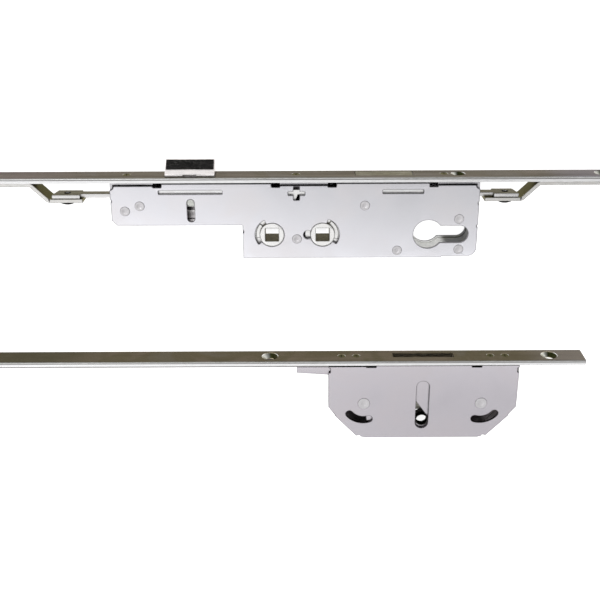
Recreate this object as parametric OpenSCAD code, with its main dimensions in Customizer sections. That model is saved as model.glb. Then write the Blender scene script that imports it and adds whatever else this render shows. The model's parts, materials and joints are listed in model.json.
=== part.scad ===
/* [Faceplates] */
// Width of both faceplates
face_w = 16; // [15.5:0.5:20]
// Thickness of both faceplates
face_t = 3; // [2.5:0.25:4]
// Radius along the outer long edges of a faceplate
face_edge_r = 0.8; // [0.3:0.1:1.2]
// Reach of the gearbox faceplate to the left of the lock spindle
main_left = 218.5; // [215:0.5:260]
// Reach of the gearbox faceplate to the right of the lock spindle
main_right = 185.5; // [185:0.5:230]
// Reach of the hook faceplate to the right of the hook case centre
hook_right_reach = 101.2; // [96:0.2:130]
// Distance of an end fixing hole from the end of its faceplate
end_hole = 21.5; // [16:0.5:26]
// Place of the middle fixing hole left of the hook case centre
mid_hole = 97; // [92:0.2:112]
// Radius of a fixing hole
fix_r = 2.6; // [2.1:0.1:3]
// Radius of a fixing hole's countersink at the face
fix_head_r = 5.2; // [4.2:0.1:5.6]

/* [Gearbox case] */
// Distance from the spindle line to the faceplate's outer face
backset = 35; // [34:0.5:40]
// Thickness of both cases
case_t = 14.5; // [14:0.5:15.5]
// Thickness of the case sheet
sheet = 1.5; // [1:0.25:1.75]
// Reach of the case to the left of the lock spindle
case_left = 124; // [123:0.5:128]
// Reach of the case to the right of the lock spindle
case_right = 91.5; // [91:0.5:96]
// Depth of the case behind the spindle line
case_low = 14.5; // [14:0.5:18]
// Height of the shallow left part's edge over the spindle line
shallow_y = 6.1; // [4:0.1:7]
// Place of the step between the shallow and the deep part
step_x = 47.3; // [46.5:0.1:50]
// Radius of the rounded lower corner
corner_r = 5; // [2:0.5:8]
// Radius of the riveted shanks that join floor and cover
rivet_r = 2; // [1.5:0.1:2.1]
// Radius of the rivet heads
rivet_head_r = 2.9; // [2.4:0.1:3.2]

/* [Handle side] */
// Distance between the latch spindle and the lock spindle
hub_gap = 30; // [29.5:0.5:32]
// Distance between the lock spindle and the key cylinder
key_gap = 62.4; // [62:0.2:64]
// Side of the square spindle hole
spindle_w = 8; // [7:0.5:8.5]
// Radius of a hub's bearing face
hub_r = 7.2; // [6.6:0.1:7.4]
// Radius of a hub's stop lobe
lobe_r = 9.4; // [8.6:0.1:9.6]
// Radius of the window round a stop lobe
window_r = 10; // [9.8:0.1:10.6]
// Radius of the round part of the cylinder hole
cyl_r = 8.8; // [8.6:0.1:9]
// Half width of the cylinder hole's stem
cyl_stem = 5.3; // [5:0.1:5.6]
// Reach of the stem from the centre of the round part
cyl_reach = 23.8; // [22:0.2:25]

/* [Drive] */
// Tooth module of the rack and the sector
tooth_m = 1.5; // [1.5:0.1:1.6]
// Tooth count of the full wheel that the sector is cut from
tooth_n = 30; // [28:1:30]
// Turn of the lock spindle from open to locked
lever_turn = 40; // [30:1:41]
// Thickness of the sliding plates under the covers
slide_t = 1.6; // [1.2:0.1:1.8]
// Thickness of the drive bars under the faceplate
bar_t = 2.2; // [1.6:0.1:2.4]
// Width of the drive bars
bar_w = 12; // [10:0.5:13]

/* [Bolts] */
// Stroke of the latch
latch_stroke = 8; // [6:0.2:8]
// Reach of the latch out of the faceplate
latch_out = 8.5; // [8:0.1:10]
// Width of the latch along the faceplate
latch_w = 28.8; // [26:0.2:29.4]
// Width of the deadbolt along the faceplate
bolt_w = 33.5; // [33:0.1:34]
// Radius from the latch spindle at which its arm presses the carriage
arm_r = 12; // [11:0.2:12.4]

/* [Hook case] */
// Half width of the hook case
hook_half = 60; // [59:0.5:64]
// Depth of the hook case behind the faceplate's outer face
hook_deep = 55.3; // [55:0.1:60]
// Distance of a hook pivot from the case centre
pivot_x = 37.4; // [37:0.2:38.4]
// Depth of the hook pivots behind the faceplate's outer face
pivot_y = 30.4; // [30.2:0.2:31.4]
// Radius of a hook pivot
pivot_r = 3; // [2.5:0.1:3.2]
// Thickness of a hook
hook_t = 2.7; // [2:0.1:2.8]
// Outer radius of a hook's claw about its pivot
claw_out = 48; // [46:0.2:48.2]
// Inner radius of a hook's claw about its pivot
claw_in = 36.5; // [36.2:0.1:40]
// Lift of the hook carriage over the whole stroke
lift = 22; // [18:0.5:22]
// Radius of the hollow lift pin
lift_pin_r = 4; // [3.8:0.1:4.1]
// Bore radius of the hollow lift pin
lift_bore_r = 3.5; // [2.5:0.1:3.6]

/* [Hidden] */
$fn = 48;

// Height of a riveted head over its plate
head_h = 0.35;

// Small gaps: side play of sliding pieces, running play of a journal, play between layers
play = 0.3;
journal_play = 0.1;
cut = 1;

// Heights of the layers, from the surface that the lock lies on
mid_z = face_w / 2;
case_z0 = mid_z - case_t / 2;
case_z1 = mid_z + case_t / 2;
floor_z = case_z0 + sheet;
cover_z = case_z1 - sheet;
slide_z1 = cover_z - 0.25;
slide_z0 = slide_z1 - slide_t;
bolt_z0 = floor_z + 0.35;
bolt_z1 = slide_z0 - play;

// Heights across the gearbox, from the spindle line
face_y = backset;
under_y = face_y - face_t;
wall_y = under_y - sheet;
slide_y0 = face_y - 10.3;
slide_y1 = face_y - 8;
rod_y0 = face_y - 13;
rod_y1 = slide_y0 - 0.4;

// Rack and sector
pitch_r = tooth_m * tooth_n / 2;
tip_r = pitch_r + tooth_m;
root_r = pitch_r - 1.25 * tooth_m;
base_r = pitch_r * cos(20);
backlash = 0.25;
stroke = PI * pitch_r * lever_turn / 180;
sector_z0 = floor_z + 2.25;
sector_z1 = sector_z0 + 4;
tooth_turn = 360 / tooth_n;
sector_end = 12;
sector_first = 90 - floor(sector_end / tooth_turn) * tooth_turn;
sector_last = 90 + ceil((lever_turn + sector_end) / tooth_turn) * tooth_turn;

// Stretch of the gearbox case
latch_x = -77.3;
latch_x0 = latch_x - latch_w / 2;
latch_x1 = latch_x + latch_w / 2;
bolt_x0 = 19.1;
bolt_x1 = bolt_x0 + bolt_w;
shank_y0 = face_y - 13.4;
rivet_at = [[-115.9, 14.9], [-107.1, 18], [-15.2, -2.6], [24.7, 17.9], [44.4, -10],
    [80.3, 9.4], [80.9, -9.5]];
pillar = rivet_at[3];
key_rivet = rivet_at[4];
face_screw_x = [-114.7, -15.6, 70.9];
screw_r = 1.6;
screw_head_r = 2.5;
heel = 0.75;
heel_x = 71;
cyl_screw_x = key_gap + 16.8;
cyl_screw_head_r = 4.2;
face_gap = 0.85;
cam_sweep = 16.2;

// Long openings of the cover that show the drive slide, and the tabs along its top edge
cover_slot_y = face_y - 10;
cover_slot_h = 2.4;
left_slot = [-95.8, -58.6];
right_slot = [34.95, 58.8];
cross_at = [-15.35, face_y - 9.7];
relief_x = [-96.4, -27.5, 5.4, 64.5];
tab_x = [[-93.7, -30.1], [8, 62.1]];
set_back = 2.1;
relief_w = 5;

// Latch head, its pad and the carriage with the yoke round the latch hub's arm
latch_tip = face_y + latch_out;
latch_crest = face_y + 1.4;
latch_back = slide_y1 + latch_stroke + play;
latch_nose = bolt_z0 + 3;
latch_top = slide_z1 - 0.2;
latch_groove = 3.8;
pad_t = 0.7;
pad_in = 0.5;
pad_share = 0.6;
spring_x = 8;
spring_r = 1.6;
wire_r = 0.3;
spring_z = floor_z + spring_r + wire_r + 0.2;
spring_y0 = shallow_y + sheet + 0.1;
spring_y1 = face_y - 4;
spring_turns = 8;
curl_rings = 8;
wire_sides = 6;
latch_pin_y = shank_y0 - 1.8;
latch_pin_r = 2;
carriage_d = 5.3;
yoke_x0 = -hub_gap - arm_r - 3.4;
yoke_x1 = -hub_gap - hub_r - 1.6;
arm_tip_r = 2.5;
arm_z0 = floor_z + 0.75;
arm_z1 = arm_z0 + 3;
yoke_z0 = arm_z1 + 0.6;
yoke_z1 = yoke_z0 + 2;

// Drive slide at rest: its ends, the blocks that carry the rods, and the notches for the key slide
slide_x0 = -case_left + sheet + 1.5;
slide_x1 = case_right - sheet - stroke - 0.3;
block_w = 8;
notch_x = 55;
notch_edge = slide_y0 - 4.2;
tongue_top = notch_edge - 0.5;
key_stroke = 3.6;

// Rod ends, drive bars and the rivets between them
rod_half = 3;
eye_half = 5.2;
peg_hole_r = 1.4;
link_r = 2;
left_eye = [-158.5, -142];
right_eye = [100.1, 114.6];
left_link = (left_eye[0] + left_eye[1]) / 2;
right_link = (right_eye[0] + right_eye[1]) / 2;
left_bend = left_eye[0] - 0.8;
right_bend = right_eye[1] + 0.6;
bend_r = 1.8;
bar_lap = 5.3;

// Pin of the drive slide in the deadbolt's slanted slot
bolt_pin = [27, 26.1 + backset - 35];
bolt_pin_r = 2;

// Hook case, measured from its centre and the faceplate's outer face
hook_at = [64.3, -83.5];
fix_pitch = hook_right_reach - end_hole + mid_hole;
hook_left_reach = mid_hole + fix_pitch + end_hole;
chamfer_a = [hook_half - 3.5, 38.5];
chamfer_b = [hook_half - 17.8, hook_deep - 1.5];
base_half = hook_half - 23.5;
side_low = 33;
lower_hook_z = floor_z + 2.05;
upper_hook_z = lower_hook_z + hook_t + play;
carriage_z0 = upper_hook_z + hook_t + play;
carriage_z1 = slide_z0 - play;
pin_low = 42.5;
peg_x = 24;
peg_r = 2;
hook_turn = 2 * atan(lift / 2 / peg_x);
rail_y1 = -face_t - play;
rail_y0 = rail_y1 - 1.7;
foot_t = 1.2;
rail_x1 = 8 - hook_half;
rail_z0 = floor_z + 0.3;
rail_z1 = cover_z - 0.25;
rail_rivet_x = -hook_half - 16.5;
rail_rivet_z = [mid_z - 3.6, mid_z + 1.4];
cam_edge_y = -13;
cam_top = -7.6;
cam_slope = 4 / 56;
rail_rivet_r = 1.2;
fork_half = 2.2;
foot_x0 = -hook_half - 20;
relief_at = 33.2;
relief_half = 3.15;
block_top = rail_y0 - foot_t - 0.4;
hook_screw_x = [-42.4, 42.4];
hook_stud_x = [-51.7, 51.7];
hook_slot_half = 19.3;
hook_slot_z0 = lower_hook_z - 0.2;
hook_slot_z1 = upper_hook_z + hook_t + 0.2;

// The whole lock is set on the middle of its own box
all_x0 = hook_at[0] - hook_left_reach;
all_x1 = main_right;
all_y0 = hook_at[1] - hook_deep;
all_y1 = face_y + latch_out;
shift = [-(all_x0 + all_x1) / 2, -(all_y0 + all_y1) / 2, 0];

zinc = [0.80, 0.80, 0.83];
steel = [0.62, 0.61, 0.58];
bright = [0.88, 0.88, 0.90];
black = [0.08, 0.08, 0.08];

// Places of the two sections in the frame of the whole lock
module at_gear() {
    translate(shift) children();
}

module at_hook() {
    translate(shift + [hook_at[0], hook_at[1], 0]) children();
}

// A cylinder whose axis runs along Y, from y0 to y1
module y_rod(x, y0, y1, z, r) {
    translate([x, y0, z]) rotate([-90, 0, 0]) cylinder(h = y1 - y0, r = r);
}

// A countersunk screw hole through a faceplate whose outer face is at y
module screw_hole(x, y, r, head_r) {
    y_rod(x, y - face_t - cut, y + cut, mid_z, r);
    translate([x, y, mid_z]) rotate([90, 0, 0]) cylinder(h = head_r - r, r1 = head_r, r2 = r);
    y_rod(x, y - 0.01, y + cut, mid_z, head_r);
}

// A faceplate from x0 to x1 with rounded outer edges
module face_strip(x0, x1, y) {
    translate([x0, y - face_t, 0]) rotate([90, 0, 90]) linear_extrude(x1 - x0) {
        square([face_t - face_edge_r, face_w]);
        translate([0, face_edge_r]) square([face_t, face_w - 2 * face_edge_r]);
        for (z = [face_edge_r, face_w - face_edge_r])
            translate([face_t - face_edge_r, z]) circle(face_edge_r);
    }
}

// A straight slot with round ends, as a flat shape from a to b
module slot_2d(a, b, r) {
    way = b - a;
    translate(a) circle(r);
    translate(b) circle(r);
    translate(a) rotate(atan2(way[1], way[0])) translate([0, -r]) square([norm(way), 2 * r]);
}

module box(x0, x1, y0, y1, z0, z1) {
    translate([x0, y0, z0]) cube([x1 - x0, y1 - y0, z1 - z0]);
}

// The part of a disc of radius r that lies between two angles less than 170 degrees apart
module pie(r, a0, a1) {
    far = 2 * r;
    mid = (a0 + a1) / 2;
    intersection() {
        circle(r);
        polygon([[0, 0], far * [cos(a0), sin(a0)], far * 1.2 * [cos(mid), sin(mid)],
            far * [cos(a1), sin(a1)]]);
    }
}

// Outline of the gearbox case, drawn in by d
module case_outline(d = 0) {
    left = -case_left + d;
    right = case_right - d;
    top = under_y - d;
    low = -case_low + d;
    shallow = shallow_y + d;
    round_at = [case_right - corner_r, -case_low + heel + corner_r];
    difference() {
        polygon([[left, top], [right, top], [right, low + heel], [heel_x, low + heel],
            [heel_x, low], [-step_x + d, low], [-step_x + d, shallow], [left + 3, shallow],
            [left, shallow + 3]]);
        // the rounded lower right corner
        translate(round_at) difference() {
            translate([0, -2 * corner_r]) square(2 * corner_r);
            circle(corner_r - d);
        }
    }
}

// Outline of the hook case, drawn in by d
module hook_outline(d = 0) {
    side = [[hook_half - d, -face_t - d], [hook_half - d, -side_low + d / 4],
        [chamfer_a[0] - 0.9 * d, -chamfer_a[1] + 0.55 * d],
        [chamfer_b[0] - 0.55 * d, -chamfer_b[1] + 0.9 * d],
        [base_half - 0.2 * d, -hook_deep + d]];
    polygon(concat(side, [for (i = [len(side) - 1 : -1 : 0]) [-side[i][0], side[i][1]]]));
}

// Flat shape of the hole for a profile cylinder, grown by d
module cylinder_shape(d = 0) {
    translate([key_gap, 0]) {
        circle(cyl_r + d);
        slot_2d([0, 0], [cyl_reach - cyl_stem, 0], cyl_stem + d);
    }
}

// Window in a case plate round a hub, open round its stop lobe
module hub_window(x, a0, a1) {
    translate([x, 0]) {
        circle(hub_r + journal_play);
        if (a1 > a0) pie(window_r, a0, a1);
    }
}

module main_faceplate() {
    color(steel) at_gear() difference() {
        face_strip(-main_left, main_right, face_y);
        screw_hole(-main_left + end_hole, face_y, fix_r, fix_head_r);
        screw_hole(main_right - end_hole, face_y, fix_r, fix_head_r);
        screw_hole(cyl_screw_x, face_y, fix_r, cyl_screw_head_r);
        for (x = face_screw_x) screw_hole(x, face_y, screw_r, screw_head_r);
        latch_opening();
        bolt_opening();
    }
}

module latch_opening() {
    box(latch_x0 - play, latch_x1 + play, wall_y - cut, face_y + cut, bolt_z0 - play,
        slide_z1 + 0.1);
}

module bolt_opening() {
    box(bolt_x0 - play, bolt_x1 + play, wall_y - cut, face_y + cut, bolt_z0 - 0.2, bolt_z1 + 0.2);
}

// Openings in the case ends for the rods
module rod_windows() {
    for (x = [-case_left, case_right - sheet])
        box(x - cut, x + sheet + cut, rod_y0 - play, rod_y1 + play, mid_z - 3.3, mid_z + 3.3);
}

module gearbox_floor() {
    color(zinc) at_gear() translate([0, 0, case_z0]) linear_extrude(sheet) difference() {
        case_outline();
        hub_window(-hub_gap, 0, 0);
        hub_window(0, 0, 0);
        cylinder_shape();
        for (p = rivet_at) translate(p) circle(rivet_r);
    }
}

// Rim that stands between floor and cover, open for the bolts and the rods
module gearbox_rim() {
    color(zinc) at_gear() difference() {
        translate([0, 0, floor_z]) linear_extrude(cover_z - floor_z) difference() {
            case_outline();
            case_outline(sheet);
        }
        latch_opening();
        bolt_opening();
        rod_windows();
        for (x = face_screw_x) y_rod(x, wall_y - cut, under_y + cut, mid_z, screw_r);
        y_rod(cyl_screw_x, wall_y - cut, under_y + cut, mid_z, fix_r);
        // the cover's reliefs go on into the rim
        for (x = relief_x) box(x - relief_w / 2, x + relief_w / 2, wall_y - cut, under_y + cut,
            cover_z - 4, cover_z + cut);
    }
}

module gearbox_cover() {
    color(zinc) at_gear() difference() {
        translate([0, 0, cover_z]) linear_extrude(sheet) difference() {
            case_outline();
            translate([-case_left - cut, under_y - face_gap])
                square([case_left + case_right + 2 * cut, cut]);
            // top edge set back between the tabs, with a relief beside each tab
            for (span = [[-case_left - cut, tab_x[0][0]], [tab_x[0][1], tab_x[1][0]],
                [tab_x[1][1], case_right + cut]])
                translate([span[0], under_y - set_back]) square([span[1] - span[0], 2]);
            for (x = relief_x)
                translate([x - relief_w / 2, under_y - 3]) square([relief_w, 4]);
            for (x = [-case_left, case_right]) translate([x, under_y - 2]) circle(2.4);
            // nicks where the rim hooks into the cover
            for (p = [[-case_left, 21], [-case_left, 8], [-step_x, 2], [case_right, 19],
                [case_right, 5]]) translate([p[0] - 0.7, p[1] - 0.8]) square([1.4, 1.6]);
            for (span = [left_slot, right_slot])
                translate([span[0], cover_slot_y]) square([span[1] - span[0], cover_slot_h]);
            translate(cross_at) square([9.9, cover_slot_h], center = true);
            translate(cross_at) square([3.6, 8.2], center = true);
            slot_2d([latch_x, latch_pin_y - latch_stroke - 1.4], [latch_x, latch_pin_y],
                latch_pin_r + 0.2);
            hub_window(-hub_gap, 116, 217);
            hub_window(0, -36, 71);
            translate([-8.7, 0]) circle(2.7);
            cylinder_shape();
            for (p = rivet_at) translate(p) circle(rivet_r);
        }
    }
}

// A riveted shank along Z with a flat head outside each plate, dished on the cover side
module case_rivet(r, head_r) {
    difference() {
        union() {
            translate([0, 0, case_z0]) cylinder(h = case_t, r = r);
            translate([0, 0, case_z1]) cylinder(h = head_h, r1 = head_r, r2 = head_r - 0.3);
            translate([0, 0, case_z0 - head_h])
                cylinder(h = head_h, r1 = head_r - 0.3, r2 = head_r);
        }
        translate([0, 0, case_z1]) cylinder(h = head_h + 0.01, r1 = head_r / 3,
            r2 = head_r / 3 + 0.6);
    }
}

module case_rivets() {
    color(bright) at_gear() for (p = rivet_at) translate([p[0], p[1], 0])
        case_rivet(rivet_r, rivet_head_r);
}

// A short countersunk screw with a cross slot, its head flush with the face at y
module face_screw(x, y, length) {
    difference() {
        union() {
            y_rod(x, y - length, y - 0.9, mid_z, screw_r);
            translate([x, y - 0.1, mid_z]) rotate([90, 0, 0])
                cylinder(h = 0.8, r1 = screw_head_r - 0.1, r2 = screw_r);
        }
        box(x - 1.5, x + 1.5, y - 0.7, y + cut, mid_z - 0.25, mid_z + 0.25);
        box(x - 0.25, x + 0.25, y - 0.7, y + cut, mid_z - 1.5, mid_z + 1.5);
    }
}

module faceplate_screws() {
    color(bright) at_gear() for (x = face_screw_x) face_screw(x, face_y, face_t + sheet + 1.2);
}

// Collars round the cylinder hole, one on each plate, with room for the key cam between
module cylinder_liner() {
    collar = 2.3;
    color(bright) at_gear() for (z = [floor_z, cover_z - collar])
        translate([0, 0, z]) linear_extrude(collar) difference() {
            cylinder_shape(1.4);
            cylinder_shape();
        }
}

// Latch bolt: a bevelled head, and a shank that passes under the drive slide
module latch_bolt() {
    channel = spring_r + wire_r + 0.15;
    color(bright) at_gear() difference() {
        translate([latch_x0, 0, 0]) rotate([90, 0, 90]) linear_extrude(latch_w)
            polygon([[shank_y0, bolt_z0], [latch_tip, bolt_z0], [latch_tip, latch_nose],
                [latch_crest, latch_top], [latch_back, latch_top], [latch_back, bolt_z1],
                [shank_y0, bolt_z1]]);
        box(latch_x - latch_groove, latch_x + latch_groove, latch_back - cut, latch_back + 0.9,
            bolt_z1, face_w);
        // channels along the underside for the springs
        for (s = [-1, 1])
            box(latch_x + s * spring_x - channel, latch_x + s * spring_x + channel,
                shank_y0 - cut, spring_y1 + 0.1, bolt_z0 - cut, spring_z + channel);
    }
}

// Dark friction pad on the latch's bevel
module latch_pad() {
    way = [latch_crest - latch_tip, latch_top - latch_nose];
    color(black) at_gear() translate([latch_x0 + pad_in, latch_tip, latch_nose])
        rotate([atan2(way[1], way[0]), 0, 0]) translate([0, pad_in, -pad_t])
            cube([latch_w - 2 * pad_in, pad_share * norm(way), pad_t]);
}

// Rings of points along a coil spring on the Z axis, with an end turn at each end
function coil_rings(length, turns) =
    let (end_rise = 2 * wire_r + 0.45, pitch = (length - 2 * wire_r - 2 * end_rise) / (turns - 2))
    [for (i = [0 : turns * curl_rings])
        let (t = i / curl_rings, z = wire_r + (t < 1 ? end_rise * t
            : t > turns - 1 ? length - 2 * wire_r - end_rise * (turns - t)
            : end_rise + pitch * (t - 1)))
        [for (j = [0 : wire_sides - 1])
            let (a = 360 * t, b = 360 * j / wire_sides, r = spring_r + wire_r * cos(b))
            [r * cos(a), r * sin(a), z + wire_r * sin(b)]]];

// Least distance from one curl to the next, measured on the rings' points
function coil_gap(rings) = min([for (i = [0 : len(rings) - 1 - curl_rings])
    for (p = rings[i]) for (q = rings[i + curl_rings]) norm(p - q)]);

// A coil spring as one tube of triangles
module coil(rings) {
    last = (len(rings) - 1) * wire_sides;
    skin = [for (i = [0 : len(rings) - 2], j = [0 : wire_sides - 1])
        let (k = i * wire_sides, m = (j + 1) % wire_sides)
        each [[k + j, k + m, k + wire_sides + m], [k + j, k + wire_sides + m, k + wire_sides + j]]];
    ends = [for (j = [1 : wire_sides - 2]) each [[0, j + 1, j], [last, last + j, last + j + 1]]];
    polyhedron([for (ring = rings) each ring], concat(skin, ends));
}

// Two springs between the case wall and the latch
module latch_springs() {
    rings = coil_rings(spring_y1 - spring_y0, spring_turns);
    echo("least gap of a spring to itself", coil_gap(rings));
    color(steel) at_gear() for (s = [-1, 1])
        translate([latch_x + s * spring_x, spring_y0, spring_z]) rotate([-90, 0, 0]) coil(rings);
}

// Carriage under the latch: a pin in the cover's slot and a yoke round the latch hub's arm
module latch_carriage() {
    color(zinc) at_gear() {
        box(latch_x0 + 1, yoke_x1, shank_y0 - carriage_d, shank_y0, yoke_z0, yoke_z1);
        box(latch_x0 + 1, latch_x1 - 1, shank_y0 - carriage_d, shank_y0, yoke_z0, bolt_z1 - 1);
        box(yoke_x0, yoke_x1, -arm_tip_r - 2.2, shank_y0, yoke_z0, yoke_z1);
        box(yoke_x0, yoke_x1, -arm_tip_r - 2.2, -arm_tip_r - 0.2, arm_z0, yoke_z1);
        translate([latch_x, latch_pin_y, yoke_z0])
            cylinder(h = case_z1 - 0.4 - yoke_z0, r = latch_pin_r);
    }
}

// Body of a hub: bearing faces in both plates and the square spindle hole
module hub_body() {
    translate([0, 0, case_z0 + 0.1]) cylinder(h = case_t - 0.2, r = hub_r);
}

module spindle_hole() {
    translate([-spindle_w / 2, -spindle_w / 2, 0]) cube([spindle_w, spindle_w, face_w]);
}

// Latch hub, with the arm that draws the latch back
module latch_hub() {
    color(bright) at_gear() translate([-hub_gap, 0, 0]) difference() {
        union() {
            hub_body();
            translate([0, 0, slide_z0]) linear_extrude(slide_t) pie(lobe_r, 138, 196);
            translate([0, 0, arm_z0]) linear_extrude(arm_z1 - arm_z0)
                slot_2d([0, 0], [-arm_r, 0], arm_tip_r);
        }
        spindle_hole();
    }
}

// Polar angle that an involute of the base circle has gained at radius r, in degrees
function involute(r) = let (t = sqrt(max(0, pow(r / base_r, 2) - 1))) t * 180 / PI - atan(t);

// One tooth of the sector about the +X axis
function tooth_points(n = 5) =
    let (half = (PI * tooth_m - backlash) / (4 * pitch_r) * 180 / PI,
        radii = [for (i = [0 : n]) base_r + (tip_r - base_r) * i / n],
        turn = [for (r = radii) half + involute(pitch_r) - involute(r)])
    concat([(root_r - 1) * [cos(turn[0]), -sin(turn[0])]],
        [for (i = [0 : n]) radii[i] * [cos(turn[i]), -sin(turn[i])]],
        [for (i = [n : -1 : 0]) radii[i] * [cos(turn[i]), sin(turn[i])]],
        [(root_r - 1) * [cos(turn[0]), sin(turn[0])]]);

// Lock hub, with the toothed sector that drives the slide
module lock_hub() {
    color(bright) at_gear() difference() {
        union() {
            hub_body();
            translate([0, 0, slide_z0]) linear_extrude(slide_t) pie(lobe_r, -22, 58);
            translate([0, 0, sector_z0]) linear_extrude(sector_z1 - sector_z0) {
                pie(root_r, sector_first - tooth_turn / 3, sector_last + tooth_turn / 3);
                for (a = [sector_first : tooth_turn : sector_last + 1])
                    rotate(a) polygon(tooth_points());
            }
        }
        spindle_hole();
    }
}

// Rack teeth that hang from the slide's lower edge, with a tooth space over the hub
module rack_2d() {
    pitch = PI * tooth_m;
    half = pitch / 4 - backlash / 4;
    flank = tan(20);
    count = ceil((stroke + 6) / pitch);
    root_y = pitch_r + 1.25 * tooth_m;
    tip_y = pitch_r - tooth_m;
    for (i = [0 : count - 1]) translate([-(i + 0.5) * pitch, 0])
        polygon([[-half - (root_y - pitch_r) * flank, root_y],
            [-half + tooth_m * flank, tip_y], [half - tooth_m * flank, tip_y],
            [half + (root_y - pitch_r) * flank, root_y]]);
    translate([-count * pitch, root_y - 0.01])
        square([count * pitch, slide_y1 - root_y + 0.01]);
}

// Drive slide: a flat bar under the cover with the rack, end blocks, bolt pin and key notches
module drive_slide() {
    color(zinc) at_gear() difference() {
        union() {
            box(slide_x0, slide_x1, slide_y0, slide_y1, slide_z0, slide_z1);
            for (x = [slide_x0, slide_x1 - block_w])
                box(x, x + block_w, rod_y1, slide_y1, mid_z - rod_half, slide_z1);
            for (x = [slide_x0 + block_w / 2, slide_x1 - block_w / 2])
                y_rod(x, rod_y0 + 0.2, rod_y1 + 0.2, mid_z, peg_hole_r);
            translate([0, 0, sector_z0]) linear_extrude(slide_z1 - sector_z0) rack_2d();
            translate([bolt_pin[0], bolt_pin[1], bolt_z0]) cylinder(h = slide_z1 - bolt_z0,
                r = bolt_pin_r);
            translate([bolt_pin[0], bolt_pin[1], slide_z0]) cylinder(h = slide_t, r = 3);
            box(33, 60, notch_edge, slide_y1, slide_z0, slide_z1);
        }
        for (x = [notch_x, notch_x - stroke])
            box(x - 1.8, x + 1.8, notch_edge - cut, tongue_top + key_stroke + 0.8, slide_z0 - cut,
                slide_z1 + cut);
    }
}

// A rod from x0 to x1 with a wider eye from its root to its tip, and a peg hole
module rod_end(x0, x1, eye_root, eye_tip, peg_x, link_x) {
    trim = 2 * sign(eye_tip - eye_root);
    color(bright) at_gear() difference() {
        union() {
            box(x0, x1, rod_y0, rod_y1, mid_z - rod_half, mid_z + rod_half);
            translate([0, rod_y1, mid_z]) rotate([90, 0, 0]) linear_extrude(rod_y1 - rod_y0)
                polygon([[eye_root, -eye_half], [eye_tip - trim, -eye_half],
                    [eye_tip, 0.7 * eye_half], [eye_tip, eye_half], [eye_root, eye_half]]);
        }
        y_rod(peg_x, rod_y0 - cut, rod_y1 + cut, mid_z, peg_hole_r);
        y_rod(link_x, rod_y0 - cut, rod_y1 + cut, mid_z, link_r);
    }
}

module left_rod_end() {
    rod_end(left_eye[1], slide_x0 + block_w, left_eye[1], left_eye[0], slide_x0 + block_w / 2,
        left_link);
}

module right_rod_end() {
    rod_end(slide_x1 - block_w, right_eye[0], right_eye[0], right_eye[1], slide_x1 - block_w / 2,
        right_link);
}

// Points along an arc from angle a0 to a1
function arc(centre, r, a0, a1, n = 6) =
    [for (i = [0 : n]) let (a = a0 + (a1 - a0) * i / n) centre + r * [cos(a), sin(a)]];

// Side view of a drive bar that runs to the right: flat, cranked up at 45 degrees, flat again
module cranked(flat_len, far) {
    rise = under_y - play - rod_y0;
    in_bends = (2 * bend_r + bar_t) * (1 - cos(45));
    slope_len = (rise - in_bends) / sin(45);
    low_at = [0, bar_t + bend_r];
    high_at = low_at + (2 * bend_r + bar_t) * [sin(45), -cos(45)]
        + slope_len * [cos(45), sin(45)];
    polygon(concat([[-flat_len, 0]], arc(low_at, bend_r + bar_t, -90, -45),
        arc(high_at, bend_r, 135, 90), [[far, rise], [far, rise + bar_t]],
        arc(high_at, bend_r + bar_t, 90, 135), arc(low_at, bend_r, -45, -90),
        [[-flat_len, bar_t]]));
}

module drive_bar(side, flat_end, bend, far, link, slot0, slot1) {
    color(steel) at_gear() difference() {
        translate([bend, rod_y0 - bar_t, mid_z - bar_w / 2]) linear_extrude(bar_w)
            mirror([side < 0 ? 1 : 0, 0]) cranked(abs(bend - flat_end), abs(far - bend));
        y_rod(link, rod_y0 - bar_t - cut, rod_y0 + cut, mid_z, link_r);
        // slot that lets the bar slide past a fixing screw
        translate([0, under_y + cut, mid_z]) rotate([90, 0, 0])
            linear_extrude(bar_t + 2 * cut + play) slot_2d([slot0, 0], [slot1, 0], fix_r + 0.2);
    }
}

module left_drive_bar() {
    hole = -main_left + end_hole;
    drive_bar(-1, left_eye[1] + 1.5, left_bend, 4 - main_left, left_link, hole - stroke, hole);
}

module right_drive_bar() {
    hole = main_right - end_hole;
    drive_bar(1, right_eye[0] - bar_lap, right_bend, main_right - stroke - play, right_link,
        hole - stroke, hole);
}

// Rivets that join rod ends and drive bars, flush above and domed below
module link_rivets() {
    low = rod_y0 - bar_t;
    color(steel) at_gear() for (x = [left_link, right_link]) {
        y_rod(x, low, rod_y1 - 0.4, mid_z, link_r);
        translate([x, low, mid_z]) rotate([90, 0, 0]) {
            cylinder(h = 1, r = 4.8);
            translate([0, 0, 1]) cylinder(h = 0.9, r1 = 4.8, r2 = 3);
        }
    }
}

// Deadbolt, thrown by the slide's pin in a slanted slot
module deadbolt() {
    tail_y = 5.5;
    tail_x = pillar[0] + rivet_r + play;
    heel_y = pillar[1] + rivet_r + play;
    color(bright) at_gear() translate([0, 0, bolt_z0]) linear_extrude(bolt_z1 - bolt_z0)
        difference() {
            polygon([[bolt_x0, heel_y], [tail_x, heel_y], [tail_x, tail_y + 6],
                [tail_x + 6, tail_y], [bolt_x1 - 3, tail_y], [bolt_x1, tail_y + 3],
                [bolt_x1, face_y], [bolt_x0, face_y]]);
            slot_2d(bolt_pin, bolt_pin + [stroke, -stroke], bolt_pin_r + 0.25);
            translate([key_gap, 0]) circle(cam_sweep);
        }
}

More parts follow.
